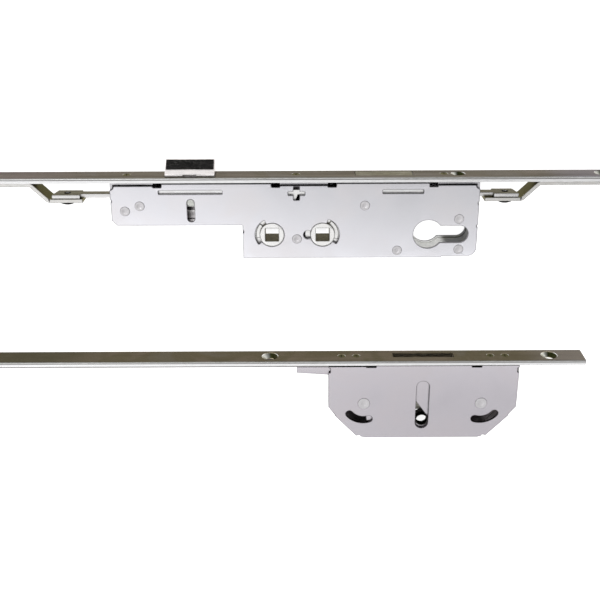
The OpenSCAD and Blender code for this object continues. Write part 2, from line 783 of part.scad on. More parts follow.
// Key slide: the key cam pushes its claw, and its tongue enters a notch of the drive slide
module key_slide() {
    left = key_rivet[0] - 3.5;
    right = key_gap - cyl_r - 4.2;
    color(zinc) at_gear() translate([0, 0, slide_z0]) linear_extrude(slide_t) difference() {
        union() {
            translate([left, -case_low + sheet + 0.4]) square([right - left, 28.5]);
            translate([left, 9.8]) square([notch_x + 1.5 - left, 5.3]);
            translate([notch_x - 1.5, 9.8]) square([3, tongue_top - 9.8]);
        }
        translate([key_rivet[0] - rivet_r - 0.25, -case_low])
            square([2 * rivet_r + 0.5, case_low + key_rivet[1] + rivet_r + 0.4]);
        translate([right - 3.5, -4.4]) square([4.5, 8.8]);
    }
}

module hook_opening() {
    box(-hook_slot_half, hook_slot_half, -face_t - sheet - cut, cut, hook_slot_z0, hook_slot_z1);
}

module hook_faceplate() {
    color(steel) at_hook() difference() {
        face_strip(-hook_left_reach, hook_right_reach, 0);
        screw_hole(hook_right_reach - end_hole, 0, fix_r, fix_head_r);
        screw_hole(-hook_left_reach + end_hole, 0, fix_r, fix_head_r);
        screw_hole(-mid_hole, 0, fix_r, fix_head_r);
        for (x = concat(hook_screw_x, hook_stud_x)) screw_hole(x, 0, screw_r, screw_head_r);
        hook_opening();
    }
}

module hook_tray() {
    color(zinc) at_hook() difference() {
        union() {
            translate([0, 0, case_z0]) linear_extrude(sheet) hook_outline();
            translate([0, 0, floor_z]) linear_extrude(cover_z - floor_z) difference() {
                hook_outline();
                hook_outline(sheet);
            }
            for (s = [-1, 1])
                box(s * 47 - 7, s * 47 + 7, block_top - 8, block_top, floor_z, slide_z0 - 0.4);
        }
        // open top for the rail on the left and for the hooks in the middle
        box(-hook_half - cut, 21, block_top, -face_t + cut, floor_z, cover_z + cut);
        // the left wall gives way to the rail's rivets and to the cam plate
        box(-hook_half - cut, -hook_half + sheet + play, block_top - 0.7, -face_t, floor_z,
            cover_z + cut);
        box(-hook_half - cut, -hook_half + sheet + play, cam_edge_y, -face_t, slide_z0 - play,
            cover_z + cut);
        // the right relief of the cover goes on into the top wall
        box(relief_at - relief_half, relief_at + relief_half, -face_t - sheet - cut, -face_t + cut,
            cover_z - 4, cover_z + cut);
        translate([0, 0, case_z0 - cut]) linear_extrude(sheet + 2 * cut) {
            slot_2d([0, -pin_low - 5.7], [0, -pin_low + lift + 0.5], lift_pin_r + 0.6);
            for (s = [-1, 1]) translate([s * pivot_x, -pivot_y]) circle(pivot_r);
        }
        for (x = concat(hook_screw_x, hook_stud_x))
            y_rod(x, block_top - 5.5, 0, mid_z, screw_r);
    }
}

// Upright slot that guides the hollow lift pin
module lift_slot() {
    slot_2d([0, -pin_low - 1.9], [0, -pin_low + lift + 1.8], lift_pin_r + 0.15);
}

// Curved windows about the hook pivots
module arc_window(s) {
    mid_r = 11.8;
    half = 2.5;
    a0 = 219.5;
    a1 = 286.6;
    mirror([s > 0 ? 1 : 0, 0]) translate([-pivot_x, -pivot_y]) {
        difference() {
            pie(mid_r + half, a0, a1);
            circle(mid_r - half);
        }
        for (a = [a0, a1]) translate(mid_r * [cos(a), sin(a)]) circle(half - 0.05);
    }
}

module hook_cover() {
    color(zinc) at_hook() translate([0, 0, cover_z]) linear_extrude(sheet) difference() {
        hook_outline();
        lift_slot();
        for (s = [-1, 1]) {
            arc_window(s);
            translate([s * pivot_x, -pivot_y]) circle(pivot_r);
            // reliefs of the folded edges
            translate([s * relief_at - relief_half, -face_t - 1.8])
                square([2 * relief_half, 3]);
            translate([s * hook_half - 1.2, -8.5]) square([2.4, 3.4]);
            translate([s * (hook_half - 1.6), -chamfer_a[1] + 1.6]) rotate(s * 52)
                square([7, 2.4], center = true);
            translate([s * (chamfer_b[0] - 2), -chamfer_b[1] - 1]) circle(1.2);
        }
        translate([-hook_half - cut, -face_t - 1.2]) square([hook_half + cut - 36, 3]);
        translate([-hook_half - cut, -face_t - 0.6]) square([2 * (hook_half + cut), cut]);
    }
}

// Hook pivots: headed shanks with collars that hold each hook at its height
module hook_pivots() {
    color(bright) at_hook() for (s = [-1, 1]) translate([s * pivot_x, -pivot_y, 0]) {
        z = s < 0 ? lower_hook_z : upper_hook_z;
        case_rivet(pivot_r, 3.9);
        translate([0, 0, floor_z]) cylinder(h = z - 0.1 - floor_z, r = 4.8);
        translate([0, 0, z + hook_t + 0.1]) cylinder(h = cover_z - z - hook_t - 0.1, r = 4.8);
    }
}

module hook_screws() {
    color(bright) at_hook() for (x = concat(hook_screw_x, hook_stud_x))
        face_screw(x, 0, -block_top + 5);
}

// Fork slot that lets the rail slide past the screws of the hook case
module rail_fork() {
    box(hook_stud_x[0] - stroke - 2.6, rail_x1 + cut, block_top - cut, 0, mid_z - fork_half,
        mid_z + fork_half);
}

// Rail under the hook faceplate
module hook_rail() {
    holes = [-mid_hole, -hook_left_reach + end_hole];
    color(steel) at_hook() difference() {
        box(-hook_left_reach + 4, rail_x1, rail_y0, rail_y1, rail_z0, rail_z1);
        rail_fork();
        for (x = holes) translate([0, rail_y1 + cut, mid_z]) rotate([90, 0, 0])
            linear_extrude(4) slot_2d([x - stroke, 0], [x, 0], fix_r + 0.2);
        for (z = rail_rivet_z)
            y_rod(rail_rivet_x, rail_y0 - cut, rail_y1 + cut, z, rail_rivet_r);
    }
}

module rail_rivets() {
    color(bright) at_hook() for (z = rail_rivet_z) {
        y_rod(rail_rivet_x, rail_y0 - foot_t, rail_y1 - 0.1, z, rail_rivet_r);
        translate([rail_rivet_x, rail_y0 - foot_t, z]) rotate([90, 0, 0])
            cylinder(h = 0.5, r1 = 1.9, r2 = 1.6);
    }
}

// Cam plate: its slanted slot lifts the hollow pin as the rail moves
module cam_plate() {
    color(zinc) at_hook() difference() {
        union() {
            translate([0, 0, slide_z0]) linear_extrude(slide_t)
                polygon([[foot_x0, rail_y0], [rail_x1, rail_y0], [rail_x1, cam_top], [8.5, cam_top],
                    [8.5, -48], [5.5, -51], [-10, -51],
                    [-20, -43.8], [-35.2, -43.8], [-35.8, -39], [-24, -36.5], [-24, cam_edge_y],
                    [foot_x0, cam_edge_y - cam_slope * (foot_x0 + 24)]]);
            box(foot_x0, rail_x1, rail_y0 - foot_t, rail_y0, rail_z0, slide_z1);
        }
        translate([0, 0, slide_z0 - cut]) linear_extrude(slide_t + 2 * cut)
            slot_2d([0, -pin_low], [-stroke, -pin_low + lift], lift_pin_r + 0.2);
        rail_fork();
        for (z = rail_rivet_z)
            y_rod(rail_rivet_x, block_top - cut, rail_y1 + cut, z, rail_rivet_r);
    }
}

// Lift carriage: the hollow pin and one peg for each hook
module lift_carriage() {
    side = pivot_x - peg_x;
    peg_y = -pivot_y - lift / 2;
    color(bright) at_hook() difference() {
        union() {
            translate([0, 0, carriage_z0]) linear_extrude(carriage_z1 - carriage_z0) {
                slot_2d([-side, peg_y], [side, peg_y], 3.4);
                translate([0, -pin_low]) circle(5.6);
            }
            translate([0, -pin_low, carriage_z0]) cylinder(h = case_z1 - 0.3 - carriage_z0,
                r = lift_pin_r);
            translate([-side, peg_y, lower_hook_z + 0.2])
                cylinder(h = carriage_z1 - lower_hook_z - 0.2, r = peg_r);
            translate([side, peg_y, upper_hook_z + 0.2])
                cylinder(h = carriage_z1 - upper_hook_z - 0.2, r = peg_r);
        }
        translate([0, -pin_low, 0]) cylinder(h = face_w, r = lift_bore_r);
    }
}

// A hook about its pivot, drawn as the left one at rest
module hook_blade() {
    lead = 31;
    trail = -8;
    claw = concat([for (i = [0 : 8]) let (a = trail + (lead - trail) * i / 8)
        claw_out * [cos(a), sin(a)]],
        [for (i = [8 : -1 : 3]) let (a = trail + (lead - 1.5 - trail) * i / 8)
        claw_in * [cos(a), sin(a)]]);
    slot_r = [peg_x - 0.3, norm([peg_x, lift / 2]) + 0.3];
    slot_a = -hook_turn / 2;
    difference() {
        union() {
            circle(8);
            polygon(concat([[4, -7], [26, -17.2], [30.5, -17.2], [32.3, -15.4], [32.3, -7.2]],
                claw, [[27, 0.4], [3, 7.4]]));
        }
        circle(pivot_r + 0.08);
        slot_2d(slot_r[0] * [cos(slot_a), sin(slot_a)], slot_r[1] * [cos(slot_a), sin(slot_a)],
            peg_r + 0.35);
    }
}

module left_hook() {
    color(steel) at_hook() translate([-pivot_x, -pivot_y, lower_hook_z]) linear_extrude(hook_t)
        hook_blade();
}

module right_hook() {
    color(steel) at_hook() translate([pivot_x, -pivot_y, upper_hook_z]) linear_extrude(hook_t)
        mirror([1, 0]) hook_blade();
}

main_faceplate();
gearbox_floor();
gearbox_rim();
gearbox_cover();
case_rivets();
faceplate_screws();
cylinder_liner();
latch_bolt();
latch_pad();
latch_springs();
latch_carriage();
latch_hub();
lock_hub();
drive_slide();
left_rod_end();
right_rod_end();
left_drive_bar();
right_drive_bar();
link_rivets();
deadbolt();
key_slide();
hook_faceplate();
hook_tray();
hook_cover();
hook_pivots();
hook_screws();
hook_rail();
rail_rivets();
cam_plate();
lift_carriage();
left_hook();
right_hook();
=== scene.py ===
"""Looks of a multipoint door lock that lies flat in two stretches, dressed over its CAD model."""

from __future__ import annotations

import json
import logging
import math
from dataclasses import dataclass, replace
from enum import Enum

import bmesh
import bpy
from mathutils import Matrix, Vector, noise

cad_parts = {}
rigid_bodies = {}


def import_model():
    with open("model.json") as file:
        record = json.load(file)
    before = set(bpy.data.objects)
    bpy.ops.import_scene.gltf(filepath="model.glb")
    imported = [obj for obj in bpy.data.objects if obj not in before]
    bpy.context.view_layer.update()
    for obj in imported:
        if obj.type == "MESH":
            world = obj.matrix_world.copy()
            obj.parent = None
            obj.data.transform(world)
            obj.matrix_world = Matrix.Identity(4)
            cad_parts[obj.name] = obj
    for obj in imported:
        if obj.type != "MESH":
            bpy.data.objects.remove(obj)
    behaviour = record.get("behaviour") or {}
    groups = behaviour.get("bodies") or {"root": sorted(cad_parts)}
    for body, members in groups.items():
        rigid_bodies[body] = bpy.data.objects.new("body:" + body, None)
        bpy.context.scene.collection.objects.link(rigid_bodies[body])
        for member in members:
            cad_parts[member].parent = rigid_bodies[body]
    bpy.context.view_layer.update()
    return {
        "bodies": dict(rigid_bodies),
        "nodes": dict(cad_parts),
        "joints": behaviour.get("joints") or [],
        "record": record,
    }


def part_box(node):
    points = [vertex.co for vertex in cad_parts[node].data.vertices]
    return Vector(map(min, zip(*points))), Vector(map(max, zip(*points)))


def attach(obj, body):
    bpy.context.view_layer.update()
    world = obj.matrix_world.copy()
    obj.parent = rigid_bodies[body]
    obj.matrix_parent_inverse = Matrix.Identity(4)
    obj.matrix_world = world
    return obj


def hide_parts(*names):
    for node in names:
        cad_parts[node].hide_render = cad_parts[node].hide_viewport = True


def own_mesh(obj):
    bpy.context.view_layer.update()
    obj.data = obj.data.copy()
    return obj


LOG = logging.getLogger("door_lock")
MM = 0.001
WELD_DISTANCE = 1e-6

# Places of the colour sockets on a mix node, where two inputs share each name.
MIX_FIRST, MIX_SECOND, MIX_RESULT = 6, 7, 2

Colour = tuple[float, float, float]
Sizes = tuple[float, float, float]
Span = tuple[float, float]
# What NodeGraph.spread takes after the value: low, high, start and end.
Ramp = tuple[float, float, float, float]
Socket = bpy.types.NodeSocket
Entry = Socket | float | Colour


class Grain(Enum):
    """The way a finish is drawn out, as the relative length of its marks along X, Y and Z."""

    EVEN = (1.0, 1.0, 1.0)
    ALONG_X = (30.0, 1.0, 1.0)
    ALONG_Z = (1.0, 1.0, 14.0)


class Axis(Enum):
    """An axis, by the name of its output on a node."""

    X = "X"
    Y = "Y"
    Z = "Z"


class Coords(Enum):
    """A kind of coordinates, by the name of its output on a node."""

    OBJECT = "Object"
    NORMAL = "Normal"
    SKY = "Generated"


class Maths(Enum):
    """A step of arithmetic, by Blender's name for it."""

    ADD = "ADD"
    SUBTRACT = "SUBTRACT"
    MULTIPLY = "MULTIPLY"
    ABSOLUTE = "ABSOLUTE"


class NodeGraph:
    """The nodes of one tree, with the steps that both materials and sky are built from."""

    def __init__(self, tree: bpy.types.NodeTree) -> None:
        """Takes the tree that gets the nodes."""
        self.tree = tree
        self.coords = self.add("ShaderNodeTexCoord")

    def add(self, kind: str, **settings: object) -> bpy.types.Node:
        """Adds a node and sets its properties.

        Args:
            kind: Blender's name for the kind of node.
            settings: Properties to set on it.

        Returns:
            The node.
        """
        node = self.tree.nodes.new(kind)
        for key, value in settings.items():
            setattr(node, key, value)
        return node

    def feed(self, source: Entry, target: Socket) -> None:
        """Links a socket to the target, or writes a number or a colour into it.

        Args:
            source: A socket, or a value to write.
            target: The input that takes it.
        """
        if isinstance(source, Socket):
            self.tree.links.new(source, target)
        elif isinstance(source, tuple):
            target.default_value = (*source, 1.0)
        else:
            target.default_value = source

    def spread(
        self, value: Socket, low: float, high: float, start: float = 0.0, end: float = 1.0
    ) -> Socket:
        """Maps the stretch from low to high smoothly onto start to end.

        Args:
            value: The socket to map.
            low: Value that gives start.
            high: Value that gives end.
            start: Result at low.
            end: Result at high.

        Returns:
            The mapped socket.
        """
        node = self.add("ShaderNodeMapRange", interpolation_type="SMOOTHSTEP")
        for name, entry in (
            ("Value", value),
            ("From Min", low),
            ("From Max", high),
            ("To Min", start),
            ("To Max", end),
        ):
            self.feed(entry, node.inputs[name])
        return node.outputs["Result"]

    def figure(self, step: Maths, first: Entry, second: Entry = 0.0) -> Socket:
        """Does one step of arithmetic.

        Args:
            step: The step.
            first: First value.
            second: Second value, if the step takes one.

        Returns:
            The result.
        """
        node = self.add("ShaderNodeMath", operation=step.value)
        self.feed(first, node.inputs[0])
        self.feed(second, node.inputs[1])
        return node.outputs[0]

    def part(self, coords: Coords, axis: Axis) -> Socket:
        """Picks one axis out of coordinates.

        Args:
            coords: The coordinates.
            axis: The axis.

        Returns:
            The value along that axis.
        """
        split = self.add("ShaderNodeSeparateXYZ")
        self.feed(self.coords.outputs[coords.value], split.inputs["Vector"])
        return split.outputs[axis.value]


class ShaderGraph(NodeGraph):
    """The nodes of one material, built round its principled shader."""

    crevice_samples: int = 6
    arris_samples: int = 8
    arris_span: Span = (0.93, 0.65)

    def __init__(self, name: str) -> None:
        """Starts a material.

        Args:
            name: Name of the material.
        """
        self.material = bpy.data.materials.new(name)
        self.material.use_nodes = True
        super().__init__(self.material.node_tree)
        self.shader = self.tree.nodes["Principled BSDF"]

    def place(self, sizes_mm: Sizes) -> Socket:
        """Scales the object's coordinates.

        Args:
            sizes_mm: Length of one unit along X, Y and Z, in millimetres.

        Returns:
            The scaled coordinates.
        """
        mapping = self.add("ShaderNodeMapping")
        self.feed(self.coords.outputs[Coords.OBJECT.value], mapping.inputs["Vector"])
        mapping.inputs["Scale"].default_value = [1.0 / (size * MM) for size in sizes_mm]
        return mapping.outputs["Vector"]

    def noise(
        self, size_mm: float, grain: Grain = Grain.EVEN, detail: float = 3.0, warp: float = 0.0
    ) -> Socket:
        """A noise whose marks have the given size across the grain.

        Args:
            size_mm: Size of a mark across the grain, in millimetres.
            grain: The way the marks are drawn out.
            detail: Octaves of finer noise.
            warp: How far the noise distorts itself.

        Returns:
            The noise's factor socket.
        """
        texture = self.add("ShaderNodeTexNoise")
        sizes = tuple(size_mm * length for length in grain.value)
        self.feed(self.place(sizes), texture.inputs["Vector"])
        texture.inputs["Scale"].default_value = 1.0
        texture.inputs["Detail"].default_value = detail
        texture.inputs["Distortion"].default_value = warp
        return texture.outputs["Fac"]

    def blend(self, factor: Socket, first: Entry, second: Entry) -> Socket:
        """Mixes two colours.

        Args:
            factor: Share of the second colour, from 0 to 1.
            first: First colour.
            second: Second colour.

        Returns:
            The mixed colour.
        """
        node = self.add("ShaderNodeMix", data_type="RGBA")
        self.feed(factor, node.inputs["Factor"])
        self.feed(first, node.inputs[MIX_FIRST])
        self.feed(second, node.inputs[MIX_SECOND])
        return node.outputs[MIX_RESULT]

    def slope(self, axis: Axis) -> Socket:
        """How far the surface's normal leans along an axis of the object, from -1 to 1."""
        return self.part(Coords.NORMAL, axis)

    def facing(self, axis: Axis) -> Socket:
        """How squarely the surface faces along an axis of the object, from 0 to 1."""
        return self.figure(Maths.ABSOLUTE, self.slope(axis))

    def along(self, axis: Axis) -> Socket:
        """Place along an axis of the object, in metres."""
        return self.part(Coords.OBJECT, axis)

    def crevices(self, reach_mm: float) -> Socket:
        """How open the surface lies, from 0 deep in a corner to 1 in the open.

        Args:
            reach_mm: How far away a wall still counts, in millimetres.

        Returns:
            The openness, a socket.
        """
        node = self.add("ShaderNodeAmbientOcclusion", samples=self.crevice_samples)
        node.inputs["Distance"].default_value = reach_mm * MM
        return node.outputs["AO"]

    def arrises(self, reach_mm: float) -> Socket:
        """How near the surface is to a sharp edge, from 0 beyond the reach to 1 on the edge.

        Args:
            reach_mm: How far from the edge it starts, in millimetres.

        Returns:
            The nearness, a socket.
        """
        node = self.add(
            "ShaderNodeAmbientOcclusion", samples=self.arris_samples, inside=True, only_local=True
        )
        node.inputs["Distance"].default_value = reach_mm * MM
        return self.spread(node.outputs["AO"], *self.arris_span)

    def bump(self, height: Socket, depth_mm: float) -> Socket:
        """Turns a height into a normal.

        Args:
            height: The height, from 0 to 1.
            depth_mm: Depth of the relief, in millimetres.

        Returns:
            The bumped normal.
        """
        node = self.add("ShaderNodeBump")
        node.inputs["Strength"].default_value = 1.0
        node.inputs["Distance"].default_value = depth_mm * MM
        self.feed(height, node.inputs["Height"])
        return node.outputs["Normal"]

    def finish(
        self, colour: Socket, roughness: Socket, metallic: float, normal: Socket | None = None,
        sheen: Colour = (1.0, 1.0, 1.0),
    ) -> bpy.types.Material:
        """Feeds the shader and hands over the material.

        Args:
            colour: Base colour.
            roughness: Roughness.
            metallic: How metallic the surface is.
            normal: Bumped normal, if there is one.
            sheen: Tint of what a metal mirrors at a glancing angle.

        Returns:
            The finished material.
        """
        self.feed(colour, self.shader.inputs["Base Color"])
        self.feed(roughness, self.shader.inputs["Roughness"])
        self.feed(metallic, self.shader.inputs["Metallic"])
        self.feed(sheen, self.shader.inputs["Specular Tint"])
        if normal is not None:
            self.feed(normal, self.shader.inputs["Normal"])
        return self.material


@dataclass(frozen=True)
class MetalFinish:
    """A metal surface: two tones, a tint that comes and goes, a grain, scratches and a fine relief.

    Faces that don't lie flat, such as the edges of a sheet, take a side tone that is painted light and
    shade for how such faces are lit: darker than the top for most finishes, lighter for the rim and
    the tray. The outline just inside a sharp edge takes that tone too, as a painted dark line of
    shade.
    Painted shade lies in corners, on the +Y side of a set place along Y, and in two marks with a lane
    of the surface's own tone between them. shade_marks says where these are: middle and half width of
    the marks along X, then middle and half width of the lane along Y.
    """

    name: str
    light: Colour
    dark: Colour
    tint: Colour
    side_shading: Colour
    grain: Grain = Grain.EVEN
    grain_mm: float = 0.25
    grain_span: Span = (0.3, 0.7)
    cloud_mm: float = 14.0
    cloud_ramp: Ramp = (0.42, 0.72, 0.0, 0.8)
    smooth: float = 0.22
    rough: float = 0.38
    gloss_span: Span = (0.7, 1.3)
    relief_mm: float = 0.006
    scratch_mm: float = 0.12
    nick_span: Span = (0.70, 0.76)
    nick_share: float = 0.35
    nick_depth: float = 0.8
    streak: float = 0.0
    streak_span: Span = (0.5, 0.7)
    flat_span: Span = (0.35, 0.93)
    painted_shade: Colour = (0.03, 0.028, 0.03)
    shade_reach_mm: float = 1.6
    shade_span: Span = (0.3, 0.8)
    sheen: Colour = (1.0, 1.0, 1.0)
    outline_mm: float = 0.0
    outline_share: float = 0.85
    shade_from: float | None = None
    shade_soft_mm: float = 0.1
    shade_marks: tuple[float, float, float, float] | None = None
    mark_soft_mm: float = 0.2
    mark_share: float = 0.85

    def material(self) -> bpy.types.Material:
        """Builds the material.

        Returns:
            The finished material.
        """
        graph = ShaderGraph(self.name)
        cloud = graph.noise(self.cloud_mm, detail=4.0, warp=0.4)
        lines = graph.noise(self.grain_mm, self.grain, detail=5.0)
        scratch = graph.noise(self.scratch_mm, Grain.ALONG_X, detail=1.0, warp=1.4)
        nick = graph.spread(scratch, *self.nick_span)
        tone = graph.blend(graph.spread(lines, *self.grain_span), self.dark, self.light)
        tone = graph.blend(graph.spread(cloud, *self.cloud_ramp), tone, self.tint)
        tone = graph.blend(graph.figure(Maths.MULTIPLY, nick, self.nick_share), tone, self.dark)
        streaks = graph.spread(lines, *self.streak_span, 0.0, self.streak)
        # Faces that don't face up take the side tone: painted light and shade for how such faces are
        # lit.
        side_shading = graph.blend(streaks, self.side_shading, self.light)
        tone = graph.blend(graph.spread(graph.facing(Axis.Z), *self.flat_span), side_shading, tone)
        tone = self._paint_shade(graph, tone)
        gloss = graph.figure(Maths.ADD, cloud, lines)
        roughness = graph.spread(gloss, *self.gloss_span, self.smooth, self.rough)
        furrow = graph.figure(Maths.MULTIPLY, nick, self.nick_depth)
        normal = graph.bump(graph.figure(Maths.SUBTRACT, lines, furrow), self.relief_mm)
        return graph.finish(tone, roughness, 1.0, normal, self.sheen)

    def _paint_shade(self, graph: ShaderGraph, tone: Socket) -> Socket:
        """Lays painted shade on the surface, in corners, on the +Y side of a set place and in two
        marks, and draws the outline as painted shade.

        Args:
            graph: The material's nodes.
            tone: The surface's own colour.

        Returns:
            The surface's colour with its painted shade.
        """
        # Painted shade in corners and gaps, deeper where the surface lies more closed in.
        open_to = graph.spread(graph.crevices(self.shade_reach_mm), *self.shade_span)
        tone = graph.blend(open_to, self.painted_shade, tone)
        # The outline: a painted dark line of shade just inside sharp edges, in the side tone.
        if self.outline_mm:
            near = graph.arrises(self.outline_mm)
            line = graph.figure(Maths.MULTIPLY, near, self.outline_share)
            tone = graph.blend(line, tone, self.side_shading)
        # Painted shade on the +Y side of a set place along Y.
        if self.shade_from is not None:
            soft = self.shade_soft_mm * MM
            start, end = self.shade_from - soft, self.shade_from + soft
            tone = graph.blend(graph.spread(graph.along(Axis.Y), start, end), tone, self.painted_shade)
        # Two marks of painted shade, with a lane of the surface's own tone between them.
        if self.shade_marks is not None:
            tone = graph.blend(self._mark_mask(graph, *self.shade_marks), tone, self.painted_shade)
        return tone

    def _mark_mask(
        self, graph: ShaderGraph, middle_x: float, half_x: float, middle_y: float, half_y: float
    ) -> Socket:
        """Two marks of painted shade, one on each side of a lane in the surface's own tone.

        Args:
            graph: The material's nodes.
            middle_x: Middle of the marks along X, in metres.
            half_x: Half their width.
            middle_y: Middle of the clean lane along Y.
            half_y: Half the lane's width.

        Returns:
            A factor that is 1 on the marks.
        """
        soft = self.mark_soft_mm * MM
        reach_x, reach_y = (
            graph.figure(Maths.ABSOLUTE, graph.figure(Maths.SUBTRACT, graph.along(axis), middle))
            for axis, middle in ((Axis.X, middle_x), (Axis.Y, middle_y))
        )
        near = graph.spread(reach_x, half_x - soft, half_x + soft, self.mark_share, 0.0)
        beside = graph.spread(reach_y, half_y - soft, half_y + soft)
        return graph.figure(Maths.MULTIPLY, near, beside)


@dataclass(frozen=True)
class StripTones:
    """The tones of one strip: four of its face, the coating's hues painted dark as shade, one for each
    end, and one for its openings' walls.
    """

    olive: Colour
    umber: Colour
    rose: Colour
    slate: Colour
    left: Colour
    right: Colour
    wall: Colour
    sheen: Colour


@dataclass(frozen=True)
class ShadedCoatStrip:
    """Rolled strip: a brushed face in a coating's olive hues, painted dark as shade; edges painted
    bright as a highlight; countersinks painted with a highlight on one side and shade on the other.

    The face lies at face_at on Y and the strip's upper edge at upper_edge on Z. The two end tones come
    on over left_span and right_span, places on X in metres. Beside the face runs a dark line, painted
    as the dark reflection in the rolled edge, and line_mm says how far behind the face it starts and
    ends.
    A countersink's wall starts at sunk_mm behind the face, and an opening's wall at wall_mm under the
    upper edge.
    """

    name: str
    face_at: float
    upper_edge: float
    tones: StripTones
    left_span: Span = (-0.10, -0.16)
    right_span: Span = (0.145, 0.175)
    end_share: float = 0.8
    # The edge tones below are a painted highlight: the strip's edges are painted bright for how light
    # falls on them.
    edge_light: Colour = (0.90, 0.90, 0.91)
    edge_dark: Colour = (0.74, 0.73, 0.72)
    edge_span: Span = (0.25, 0.6)
    # The two tones below paint each countersink with a highlight where its wall faces +X and with
    # shade elsewhere.
    cone_light: Colour = (0.50, 0.50, 0.46)
    cone_dark: Colour = (0.022, 0.024, 0.008)
    cone_span: Span = (-0.1, 0.5)
    # The tone below paints a dark line beside the face, a painted dark reflection in the rolled edge.
    line: Colour = (0.10, 0.095, 0.09)
    line_mm: Span = (0.78, 1.5)
    line_soft_mm: Span = (0.1, 0.3)
    line_share: float = 0.9
    sunk_mm: Span = (0.15, 0.3)
    sunk_from: Span = (0.3, 0.5)
    sunk_to: Span = (0.93, 0.8)
    wall_mm: Span = (0.4, 1.0)
    wall_span: Span = (0.3, 0.6)
    broad_span: Span = (0.7, 0.95)
    brush_mm: float = 0.12
    brush_span: Span = (0.3, 0.7)
    band_mm: float = 2.0
    band_ramp: Ramp = (0.55, 0.8, 0.0, 0.4)
    cloud_mm: float = 30.0
    rose_ramp: Ramp = (0.52, 0.62, 0.0, 0.85)
    slate_ramp: Ramp = (0.46, 0.36, 0.0, 0.7)
    gloss_ramp: Ramp = (0.7, 1.3, 0.24, 0.42)
    relief_mm: float = 0.008

    def material(self) -> bpy.types.Material:
        """Builds the material.

        Returns:
            The finished material.
        """
        graph = ShaderGraph(self.name)
        brush = graph.noise(self.brush_mm, Grain.ALONG_X, detail=5.0)
        band = graph.noise(self.band_mm, Grain.ALONG_X, detail=2.0)
        # The face takes its coating's hues painted dark as shade; everything else takes the edge
        # tones, painted bright as a highlight.
        broad = graph.spread(graph.facing(Axis.Y), *self.broad_span)
        tone = graph.blend(broad, self._edge(graph, brush), self._face(graph, brush, band))
        # Painted highlight and shade in each countersink, by which way its wall faces along X.
        lit = graph.spread(graph.slope(Axis.X), *self.cone_span)
        cone = graph.blend(lit, self.cone_dark, self.cone_light)
        tone = graph.blend(self._sunk(graph), tone, cone)
        roughness = graph.spread(graph.figure(Maths.ADD, brush, band), *self.gloss_ramp)
        normal = graph.bump(brush, self.relief_mm)
        return graph.finish(tone, roughness, 1.0, normal, self.tones.sheen)

    def _face(self, graph: ShaderGraph, brush: Socket, band: Socket) -> Socket:
        """Colour of the face: the coating's hues painted dark as shade, changing toward both ends of
        the strip.

        Args:
            graph: The material's nodes.
            brush: The fine brush marks.
            band: The broad bands along the strip.

        Returns:
            The colour.
        """
        tones, place = self.tones, graph.along(Axis.X)
        cloud = graph.noise(self.cloud_mm, detail=3.0, warp=0.6)
        face = graph.blend(graph.spread(brush, *self.brush_span), tones.umber, tones.olive)
        for value, ramp, tone in (
            (cloud, self.rose_ramp, tones.rose),
            (cloud, self.slate_ramp, tones.slate),
            (place, (*self.left_span, 0.0, self.end_share), tones.left),
            (place, (*self.right_span, 0.0, self.end_share), tones.right),
            (band, self.band_ramp, tones.umber),
        ):
            face = graph.blend(graph.spread(value, *ramp), face, tone)
        return face

    def _edge(self, graph: ShaderGraph, brush: Socket) -> Socket:
        """Colour of all that doesn't face like the strip's face: its edges, painted bright as a
        highlight, and its openings' walls.

        Args:
            graph: The material's nodes.
            brush: The fine brush marks.

        Returns:
            The colour.
        """
        edge = graph.blend(graph.spread(brush, *self.edge_span), self.edge_dark, self.edge_light)
        # Painted dark reflection: the dark line beside the face.
        edge = graph.blend(self._line(graph), edge, self.line)
        return graph.blend(self._wall(graph), edge, self.tones.wall)

    def _depth(self, graph: ShaderGraph) -> Socket:
        """How far behind the strip's face a point lies, in metres."""
        return graph.figure(Maths.SUBTRACT, self.face_at, graph.along(Axis.Y))

    def _sunk(self, graph: ShaderGraph) -> Socket:
        """Where the slanted walls of the countersinks are.

        Args:
            graph: The material's nodes.

        Returns:
            A factor that is 1 on those walls.
        """
        start, end = (reach * MM for reach in self.sunk_mm)
        leans = graph.spread(graph.facing(Axis.Y), *self.sunk_from)
        faces = graph.spread(graph.facing(Axis.Y), *self.sunk_to)
        slanted = graph.figure(Maths.MULTIPLY, leans, faces)
        return graph.figure(Maths.MULTIPLY, slanted, graph.spread(self._depth(graph), start, end))

    def _wall(self, graph: ShaderGraph) -> Socket:
        """Where the walls of openings are that face the same way as the strip's upper edge.

        Args:
            graph: The material's nodes.

        Returns:
            A factor that is 1 on those walls.
        """
        start, end = (self.upper_edge - reach * MM for reach in self.wall_mm)
        below = graph.spread(graph.along(Axis.Z), start, end)
        upward = graph.spread(graph.slope(Axis.Z), *self.wall_span)
        return graph.figure(Maths.MULTIPLY, below, upward)

    def _line(self, graph: ShaderGraph) -> Socket:
        """Where the dark line lies beside the face, painted as the dark reflection in the rolled edge.

        Args:
            graph: The material's nodes.

        Returns:
            A factor, highest on the line.
        """
        depth = self._depth(graph)
        start, end = (reach * MM for reach in self.line_mm)
        soft_start, soft_end = (reach * MM for reach in self.line_soft_mm)
        inside = graph.spread(depth, start - soft_start, start + soft_start)
        beyond = graph.spread(depth, end - soft_end, end, self.line_share, 0.0)
        return graph.figure(Maths.MULTIPLY, inside, beyond)


